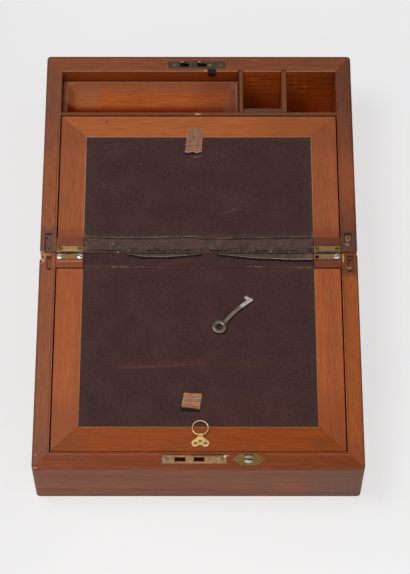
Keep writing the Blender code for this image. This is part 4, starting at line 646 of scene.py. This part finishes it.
def upperLeather():
    # the flap's plane plus ripples, a lip where the flap starts, the groove before it and the crease at the fold
    d = upperSheet
    x = np.linspace(-d["half"], d["half"], d["columns"])[None, :]
    # rows lie closer at the fold and at the tab
    v = np.concatenate((np.arange(d["near"], 20, 0.28), np.linspace(20.2, 104, 56), np.arange(104.5, 113, 0.5),
                        np.linspace(113.6, d["far"], 12)))[:, None]
    along, over = partial(ripple, x, 0 * x), partial(ripple, x, v)
    lip = np.interp(x, d["lipX"], d["lipV"])
    strip = clamp((lip - 0.4 - v) / 0.8)  # 1 on the hinge wall, 0 on the flap
    lipShare = np.clip(0.55 + 0.8 * along(34, 3), 0.1, 1.2)
    inside = clamp(np.minimum(d["half"] - np.abs(x), d["far"] - v) / 3)
    height = slope["flapTop"] + d["swell"] * inside * over(55, 4) + 0.03 * over(9, 5)
    height = height + strip * (0.10 * over(10, 6) + 0.05 * over(3.2, 7))
    height = height + d["lipRise"] * lipShare * ridge(v - lip, 0.45) - d["lipGroove"] * ridge(v - lip + 1.05, 0.42)
    crease = d["crease"] + 0.25 * along(40, 8) + 0.3 * along(6, 14) + 0.15 * along(2.1, 15)
    broken = np.clip(0.65 + 0.6 * along(9, 16), 0.15, 1)  # the crease opens and closes along its length
    second = clamp(0.1 + 0.9 * along(21, 19))  # a shorter crack beside the crease
    flakes = clamp(over(3.3, 17) - 0.5) * clamp(2 * along(23, 18))
    flakes = flakes * (ridge(v - crease - 0.9, 0.6) + ridge(v - crease + 1.0, 0.5))
    worn = ridge(d["half"] - np.abs(x), 0.7) * clamp(0.5 + ripple(0 * v, v, 6, 20))
    worn = worn * np.clip((34 - v) / 12, 0.15, 1)
    height = height - d["creaseDeep"] * broken * ridge(v - crease, 0.35)
    height = height + 0.2 * ridge(v - crease - 0.8, 0.5) + 0.15 * flakes
    away = np.hypot(x + 2.5, v - 112.5)  # two fine curls pressed in under the tab's end
    curls = (ridge(away - 4.4, 0.5) + ridge(away - 7.2, 0.5)) * clamp((108.8 - v) / 1.5)
    curls = curls * ridge(x + 1.5, 5.5)
    height = np.minimum(height + 0.22 * curls, d["ceiling"])
    specks = ((-77.4, 0.9, 0.9), (-81.9, 10, 0.6), (69.1, 2.2, 0.8))
    speck = sum(ridge(np.hypot(x - a, v - b), reach) for a, b, reach in specks)
    crumbs = clamp(over(2.3, 12) - 0.35) * ridge(x + 108.6, 1.3) * clamp((19 - v) / 2) * 1.6
    scratch = ridge((v - 41.9) - (x - 19.3) * 0.357, 0.5) * clamp((x - 18) / 4) * clamp((41 - x) / 4)
    bloom = ridge(x + 80, 9) * ridge(v - 112, 9) * clamp(0.2 + 1.2 * over(2.9, 13))
    tabShade = ridge(v - 109.2 - 0.055 * (x + 13.6), 1.0) * clamp((x + 14.5) / 2) * clamp((3.2 - x) / 2)
    fields = dict(  # tabShade: painted shadow under the tab's lifted end
        dust=clamp(strip * (0.85 + 0.25 * over(14, 9))) + 0.7 * bloom
        + 0.25 * ridge(v - lip - 1.5, 2.5) * (1 - strip),
        # the dark along the crease, beside it and at the sheet's fold edge is painted shade
        dark=np.clip(1.4 * ridge(v - lip + 1.15, 0.6) * np.clip(0.85 - 0.6 * along(38, 10), 0.35, 1)
                     + 1.5 * broken * ridge(v - crease, 0.75) + 0.9 * second * ridge(v - crease - 2.0, 0.5)
                     + 0.6 * ridge(v - d["near"], 0.5) + 1.5 * tabShade, 0, 2),
        pale=clamp(0.5 * lipShare * ridge(v - lip, 0.45) + speck + crumbs + 0.9 * flakes + 0.2 * scratch
                   + 0.35 * curls + 0.4 * worn),
        border=(1 - strip) * clamp(ridge(d["half"] - np.abs(x), 6) + 0.5 * ridge(d["far"] - v, 5)))
    return onSlope(x, v, height), onSlope(x, v, slope["flapTop"] - d["thick"] + 0 * height), fields


upperPiece = makeShells("upper_writing_leather", [upperLeather()], leather)
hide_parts("upper_flap_leather", "base_fold_leather")
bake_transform(upperPiece)

# lower leather: one sheet from the fold down the flap, with two torn tongues that lie back over its strip
lowerSheet = dict(
    half=110.2, near=-178.4, far=-0.55, thick=1.0, columns=190, swell=0.08, seamRise=0.30, seamGroove=0.35,
    ceiling=-1.5, creaseX=(-83, -50, -34, -17, 1, 20, 48, 95),
    creaseV=(-120.0, -119.4, -118.6, -117.4, -116.6, -118.0, -117.2, -117.6),
    seamX=(-110, -66, -18, 1.4, 54, 97, 110), seamV=(-14.7, -14.7, -15.8, -16.1, -14.3, -15.5, -15.2),
    tongues=(((-68, -52, -26.5, 4), (-0.9, -4.1, -4.1, -0.9)), ((17.3, 52, 88.6, 109.8), (-1.2, -5.3, -7.2, -7.1))),
    tongueTop=-1.74, tongueLift=0.55, tongueThick=0.42, tongueThins=0.22, tongueGrid=(110, 14))


def lowerLeather():
    # the flap's plane plus ripples, with a raised and grooved seam where the hinge wall ends
    d = lowerSheet
    x = np.linspace(-d["half"], d["half"], d["columns"])[None, :]
    # rows lie closer at the tab, the crease and the fold
    v = np.concatenate((
        np.linspace(d["near"], -167, 8), np.arange(-166.6, -143.8, 0.45), np.linspace(-143.4, -123, 10),
        np.arange(-122.4, -111, 0.6), np.linspace(-110, -20.2, 42), np.arange(-19.9, d["far"], 0.3)))[:, None]
    along, over = partial(ripple, x, 0 * x), partial(ripple, x, v)
    seam = np.interp(x, d["seamX"], d["seamV"])
    strip = clamp((v - seam + 0.3) / 0.8)
    cracked = clamp(0.55 + 0.8 * along(26, 21))
    cracked = cracked * np.clip(np.maximum((-16 - x) / 8, (x - 44) / 8), 0.15, 1)
    inside = clamp(np.minimum(d["half"] - np.abs(x), v - d["near"]) / 3)
    height = slope["flapTop"] + d["swell"] * inside * over(60, 22) + 0.03 * over(9, 23)
    height = height + strip * (0.08 * over(9, 24) + 0.04 * over(3, 25))
    height = height + d["seamRise"] * cracked * ridge(v - seam, 0.45) - d["seamGroove"] * ridge(v - seam + 1.0, 0.4)
    height = np.minimum(height, d["ceiling"])
    under = sum(ridge(v - np.interp(x, *outline) + 1.1, 0.9) * (x > outline[0][0]) * (x < outline[0][-1])
                for outline in d["tongues"])  # painted shade under the torn edges
    tabShade = ridge(v + 162.3 + 0.075 * (x + 16), 1.1) * clamp((x + 18) / 2) * clamp((2.5 - x) / 2)
    tabSideShade = ridge(x + 16.4 - 0.17 * (v + 160), 0.8) * clamp((v + 162) / 2) * clamp((-146 - v) / 3)
    crease = np.interp(x, d["creaseX"], d["creaseV"])  # an old fold, rubbed red above its line
    rubbed = clamp((v - crease + 0.8) / 1.2) * clamp((crease + 6.5 - v) / 3)
    rubbed = rubbed * np.interp(x, (-82, -66, -34, 0, 50, 105), (0, 0.45, 0.45, 0.36, 0.28, 0))
    fields = dict(  # tabShade and tabSideShade: painted shadow under the tab's lifted end and along its left side
        dust=0.10 * strip * clamp(0.6 + over(12, 26)) + 0.2 * cracked * ridge(v - seam, 1.6)
        + 0.5 * clamp((np.abs(x) - 60) / 40) * ridge(v - seam, 2.4),
        dark=np.clip(0.75 * ridge(v - seam + 1.0, 0.45) * np.clip(0.6 - 0.8 * along(30, 27), 0.1, 1)
                     + 0.15 * strip + 2.0 * under + 1.8 * (tabShade + 0.7 * tabSideShade), 0, 2),
        pale=clamp(0.6 * cracked * clamp(0.55 + 0.9 * along(5, 28)) * ridge(v - seam, 0.5)
                   + ridge(v - crease, 1.0) * np.interp(x, (-90, -66, -34, 8), (0, 0.05, 0.06, 0))),
        border=(1 - strip) * clamp(0.8 * ridge(d["half"] - np.abs(x), 5) + 0.4 * ridge(v - d["near"], 4)),
        red=clamp(ridge(x + 21, 13) * ridge(v + 10 - (x + 21) * 0.08, 1.6)
                  + rubbed + 0.32 * ridge(x - 45, 45) * ridge(v + 161, 11)
                  + ridge(v - crease, 1.2) * np.interp(x, (-90, -66, -34, 8), (0, 0.3, 0.3, 0.1))))
    return onSlope(x, v, height), onSlope(x, v, slope["flapTop"] - d["thick"] + 0 * height), fields


def tornTongue(outline, seed):
    # from the fold (t = 0) to the torn edge (t = 1): it rises with t squared and thins to the edge
    d, (edgeX, edgeV) = lowerSheet, outline
    columns, rows = d["tongueGrid"]
    x = np.linspace(edgeX[0], edgeX[-1], columns)[None, :]
    t = np.linspace(1, 0, rows)[:, None]
    along = partial(ripple, x, 0 * x)
    edge = np.interp(x, edgeX, edgeV) + 0.14 * along(7, seed) + 0.08 * along(2.4, seed + 1)
    v = -0.4 + (edge + 0.4) * t
    over = partial(ripple, x, v)
    lift = np.clip(-edge / 5, 0.1, 1.3)
    height = d["tongueTop"] + d["tongueLift"] * lift * t ** 2 + 0.10 * t * over(12, seed + 2)
    thick = d["tongueThick"] - d["tongueThins"] * t ** 3
    pink = clamp((x - 100) / 4)
    # the dark at the fold is painted shade and the pale line at the torn edge a painted highlight
    fields = dict(dust=clamp(0.95 - 0.5 * pink + 0.1 * over(6, seed + 3)) + 0 * t,
                  dark=0.8 * ridge(t, 0.14) + 0 * x, pale=np.clip(1.5 * ridge(t - 1, 0.08) + 0.2 * pink, 0, 2),
                  border=0 * x * t, red=0.5 * pink + 0 * t)
    return onSlope(x + 0 * t, v, height), onSlope(x + 0 * t, v, height - thick), fields


tongues = [tornTongue(outline, 30 + 7 * i) for i, outline in enumerate(lowerSheet["tongues"])]
lowerPiece = makeShells("lower_writing_leather", [lowerLeather(), *tongues], leather)
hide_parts("lower_flap_leather", "lid_fold_leather")
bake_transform(lowerPiece)
print("leathers laid")


# Old ribbed silk-and-cotton ribbon, faded from red to buff: fine cross ribs, grey worn streaks, frayed pale ends
def makeRibbonCloth(name, rib, streak, tones):
    made, add, shader, place = newMaterial(name)
    ribs = add("Mapping", {"Vector": place, "Scale": (1000 / rib[0], 1000 / rib[1], 500)})
    ribs = add("TexNoise", {"Vector": ribs, "Scale": 1.0, "Detail": 2.0})
    streaks = add("Mapping", {"Vector": place, "Scale": (1000 / streak[0], 1000 / streak[1], 500)})
    streaks = add("TexNoise", {"Vector": streaks, "Scale": 1.0, "Detail": 3.0})
    colour = add("MapRange", (ribs, 0.3, 0.7))
    colour = add("ValToRGB", {"Fac": colour}, stops=tones)
    grey = add("MapRange", (streaks, 0.48, 0.68, 0, 0.55))
    colour = add("Mix", {0: grey, 6: colour, 7: "#8a7361"}, **rgba)
    for field, tone in (("dark", "#4a2c20"), ("pale", "#c09c86")):
        amount = add("Attribute", out="Fac", attribute_name=field)
        mask = add("Math", (amount, 0.8), operation="MULTIPLY")
        colour = add("Mix", {0: mask, 6: colour, 7: tone}, **rgba)
    bump = add("Bump", {"Strength": 0.5, "Distance": 0.15 * mm, "Height": ribs})
    setInputs(made.node_tree, shader, {"Base Color": colour, "Normal": bump, "Roughness": 0.85,
                                       "Specular IOR Level": 0.2, "Sheen Weight": 0.15, "Sheen Roughness": 0.4})
    return made


# the tabs: four corners as (x, v) on the slope, root first, left then right; the free end is wavy and lifted
tabCloth = dict(top=-1.86, thick=0.3, columns=34, rows=56)
upperTab = dict(
    root=((-10.6, 138.6), (4.7, 138.6)), end=((-13.6, 110.4), (2.8, 111.3)), lift=0.75, wave=0.35, fray=0.15,
    faded=0.8, endShade=0.2, creased=0.3, crease=0.66, endA=(0, 0.16, 0.45, 0.70, 0.86, 1),
    endV=(0.4, -0.5, 1.0, -1.4, -0.4, 0.6), rib=(0.8, 9), streak=(2.6, 30), tones=("#714936", "#855a44", "#996d55"))
lowerTab = dict(
    root=((-13.4, -145.5), (3.3, -146.2)), end=((-16.0, -160.6), (1.0, -161.9)), lift=1.25, wave=0.25, fray=0.35,
    faded=0.1, endShade=0.9, creased=0.8, crease=0.36, endA=(0, 0.4, 0.7, 1), endV=(0.2, 0.2, 0.0, -0.5), rib=(12, 0.9),
    streak=(9, 3), tones=("#6b3f2a", "#966649", "#be8d6e"))


def makeTab(name, d, body, node, cloth, seed):
    # a ruled patch between the root and the end lines; height rises with t squared, waves grow with t cubed
    a = np.linspace(0, 1, tabCloth["columns"])[None, :]
    t = np.linspace(1, 0, tabCloth["rows"])[:, None]
    (ax, av), (bx, bv) = d["root"]
    (cx, cv), (ex, ev) = d["end"]
    x = (ax + (bx - ax) * a) * (1 - t) + (cx + (ex - cx) * a) * t
    v = (av + (bv - av) * a) * (1 - t) + (cv + (ev - cv) * a) * t + np.interp(a, d["endA"], d["endV"]) * t ** 6
    x = x + d["fray"] * ripple(0 * t, 30 * t, 2.2, seed) * (2 * a - 1) ** 8
    v = v + 0.12 * ripple(40 * a, 0 * a, 2.0, seed + 1) * t ** 12
    fold = ridge(t - d["crease"], 0.018)
    height = tabCloth["top"] + d["lift"] * t ** 2 + d["wave"] * np.sin(2 * math.pi * (1.7 * a + 0.12)) * t ** 3
    height = np.maximum(height + 0.16 * fold, tabCloth["top"])
    side = np.minimum(a, 1 - a)
    pale = d["faded"] * ridge(t - 1, 0.03) + d["creased"] * fold * (a < 0.75) + 0.35 * ridge(side, 0.025)
    # the dark along the lifted free end is painted shade
    dark = 0.6 * ridge(t - d["crease"] - 0.05, 0.025) + d["endShade"] * ridge(t - 1, 0.06)
    fields = dict(pale=clamp(pale) + 0 * a * t, dark=clamp(dark) + 0 * a)
    under = onSlope(x, v, height - tabCloth["thick"])
    material = makeRibbonCloth(cloth, d["rib"], d["streak"], d["tones"])
    piece = makeShells(name, [(onSlope(x, v, height), under, fields)], material)
    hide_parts(node)
    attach(piece, body)


makeTab("upper_pull_ribbon", upperTab, "upper_flap", "upper_ribbon_tab", "faded_ribbon_upper", 41)
makeTab("lower_pull_ribbon", lowerTab, "lower_flap", "lower_ribbon_tab", "faded_ribbon_lower", 47)
print("ribbons laid")

# screws: x, v, head radius, crown, turn of the slot in degrees, metal, body, node it stands for
screws = dict(
    hinge_left_base_slot_outer=(-133.2, 4.3, 2.2, 0.15, 20, "dark", "base", "hinge_left_base_screw_outer"),
    hinge_left_base_slot_inner=(-113.8, 4.3, 2.2, 0.15, 75, "dark", "base", "hinge_left_base_screw_inner"),
    hinge_right_base_slot_outer=(133.2, 4.3, 2.2, 0.15, 100, "dark", "base", "hinge_right_base_screw_outer"),
    hinge_right_base_slot_inner=(113.8, 4.3, 2.2, 0.15, 50, "dark", "base", "hinge_right_base_screw_inner"),
    hinge_left_lid_pan_outer=(-133.2, -4.1, 2.7, 0.45, 88, "zinc", "lid", "hinge_left_lid_screw_outer"),
    hinge_left_lid_pan_inner=(-113.9, -4.1, 2.7, 0.45, 74, "zinc", "lid", "hinge_left_lid_screw_inner"),
    hinge_right_lid_pan_outer=(132.8, -4.0, 2.7, 0.45, 110, "zinc", "lid", "hinge_right_lid_screw_outer"),
    lozenge_pan=(46.0, -211.76, 4.1, 0.3, 86, "worn", "lid", "lozenge_screw"),
    lock_plate_slot_left=(-24.4, 211.3, 1.9, 0.10, 60, "steel", "base", None),
    lock_plate_slot_right=(22.4, 211.3, 1.9, 0.10, -30, "steel", "base", None),
    strike_slot_left=(-29.2, -211.8, 2.5, 0.14, -45, "steel", "lid", None),
    strike_slot_right=(21.0, -212.2, 2.5, 0.14, 35, "steel", "lid", None))
screwShape = dict(top=-0.5, slotHalf=0.19, slotDeep=0.3, shank=1.0, length=8.0, stub=0.6, columns=9, chords=13)


def makeScrew(name, x, v, radius, crown, turn, kind, body, node):
    # columns run across the slot and are doubled at its walls; rows are chords of the head, then rings down
    # the cone and the shank to a point: z = crown * (1 - (r / radius)^2)^0.7 less the slot's depth
    d, count = screwShape, screwShape["columns"]
    half, deep, shank = d["slotHalf"] * radius, d["slotDeep"] * radius, d["shank"]
    length = d["length" if node else "stub"]
    across = np.concatenate((np.linspace(-radius, -half, count), np.linspace(-half, half, 3),
                             np.linspace(half, radius, count)))
    slotted = np.concatenate((np.zeros(count), np.ones(3), np.zeros(count)))
    reach = np.sqrt(np.maximum(radius ** 2 - across ** 2, 0))
    chord = np.linspace(-1, 1, d["chords"])[:, None]
    dome = np.maximum(1 - (across ** 2 + (chord * reach) ** 2) / radius ** 2, 0) ** 0.7
    head = gridPoints(across, chord * reach, crown * dome - deep * slotted)
    rings = [(0.97, -0.06 - deep), (shank / radius, -radius * 0.6), (shank / radius, -length), (0.0, -length)]
    if not node:
        rings = [(0.97, -0.06 - deep), (0.8, -length), (0.0, -length)]
    down = [gridPoints(across * k, reach * k, z) for k, z in rings]
    flip = np.array((1, -1, 1))
    grid = np.concatenate((np.array([ring * flip for ring in down[::-1]]), head, np.array(down)))
    c, s = math.cos(math.radians(turn)), math.sin(math.radians(turn))
    across, along, height = grid[..., 0], grid[..., 1], grid[..., 2]
    place = onSlope(x + across * c - along * s, v + across * s + along * c, d["top"] + height)
    rows, columns = place.shape[:2]
    index = np.arange(rows * columns).reshape(rows, columns)
    mesh = bpy.data.meshes.new(name)
    mesh.from_pydata(place.reshape(-1, 3).tolist(), [], gridFaces(index).tolist())
    dark = np.zeros((rows, columns))
    dark[len(rings):-len(rings)] = slotted  # the slot's floor is painted dark: painted shade in the slot
    setField(mesh, "slot", dark.reshape(-1))
    shape = bmesh.new()
    shape.from_mesh(mesh)
    bmesh.ops.remove_doubles(shape, verts=shape.verts, dist=1e-6)
    bmesh.ops.recalc_face_normals(shape, faces=shape.faces)
    shape.to_mesh(mesh)
    shape.free()
    item = addPiece(name, mesh, metal[kind], sharp=35)
    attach(item, body)
    if node:
        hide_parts(node)


for name, settings in screws.items():
    makeScrew(name, *settings)
print("screws driven:", len(screws))

# floor and light: a pale table in a soft tent that is open to the writer's side, with one broad lamp high at the left
studio = dict(
    floor="#f3f2f2", size=6.0, paper=0.76, fall=0.95, fallOver=(-0.30, -0.10), aside=0.958, asideOver=(-0.22, -0.10),
    skyNear=1.05, skyFar=0.30, skyTurn=(-0.35, 0.40), skyLow=0.35, skySeen=0.92, keyPlace=(-0.78, 0.04, 1.95),
    keySize=0.75, keyPower=22.0)


def makeStudio():
    made, add, shader, place = newMaterial("pale_table")
    # painted shade on the sweep: it is brightest towards the writer and a little darker at the left
    split = [add("SeparateXYZ", {0: place}, out=axis) for axis in range(2)]
    start, stop = studio["fallOver"]
    tone = add("MapRange", (split[1], start, stop, 1.0, studio["fall"]))
    start, stop = studio["asideOver"]
    aside = add("MapRange", (split[0], start, stop, studio["aside"], 1.0))
    tone = add("Math", (tone, aside), operation="MULTIPLY")
    colour = add("Mix", {0: 1.0, 6: studio["floor"], 7: tone}, **rgba, blend_type="MULTIPLY")
    setInputs(made.node_tree, shader, {"Base Color": colour, "Roughness": 0.8, "Specular IOR Level": 0.1})
    # the camera, mirrors and glass see the table paler than its shadows are, as in a photographer's tent
    seen = 0.0
    for ray in ("Is Camera Ray", "Is Glossy Ray", "Is Transmission Ray"):
        seen = add("Math", (seen, add("LightPath", out=ray)), operation="MAXIMUM")
    glow = add("Emission", {"Color": colour, "Strength": 1.0})
    share = add("Math", (seen, studio["paper"]), operation="MULTIPLY")
    mixed = add("MixShader", (share, shader.outputs[0], glow))
    setInputs(made.node_tree, made.node_tree.nodes["Material Output"], {"Surface": mixed})
    size = studio["size"]
    mesh = bpy.data.meshes.new("table")
    mesh.from_pydata([(-size, -size, 0), (size, -size, 0), (size, size, 0), (-size, size, 0)], [], [(0, 1, 2, 3)])
    mesh.materials.append(made)
    table = bpy.data.objects.new("table", mesh)
    bpy.context.scene.collection.objects.link(table)
    world = bpy.context.scene.world or bpy.data.worlds.new("sky")
    bpy.context.scene.world = world
    world.use_nodes = True
    sky = partial(addNode, world.node_tree)
    facing = sky("TexCoord", out="Generated")
    start, stop = studio["skyTurn"]
    light = sky("SeparateXYZ", {0: facing}, out="Y")
    light = sky("MapRange", (light, start, stop, studio["skyNear"], studio["skyFar"]),
                interpolation_type="SMOOTHSTEP")
    raised = sky("MapRange", (sky("SeparateXYZ", {0: facing}, out="Z"), 0, 1, studio["skyLow"], 1.0))
    light = sky("Math", (light, raised), operation="MULTIPLY")
    seen = sky("Mix", {0: sky("LightPath", out="Is Camera Ray"), 2: light, 3: studio["skySeen"]})
    setInputs(world.node_tree, world.node_tree.nodes["Background"], {"Color": "#ffffff", "Strength": seen})
    lamp = bpy.data.lights.new("key", "AREA")
    lamp.shape, lamp.size, lamp.energy = "SQUARE", studio["keySize"], studio["keyPower"]
    item = bpy.data.objects.new("key", lamp)
    back = np.array(studio["keyPlace"]) / np.linalg.norm(studio["keyPlace"])
    right = np.cross((0, 0, 1), back) / np.linalg.norm(np.cross((0, 0, 1), back))
    aim(item, right, np.cross(back, right), back, studio["keyPlace"])


makeStudio()
bpy.context.scene.view_settings.view_transform = "Standard"
print("studio lit")
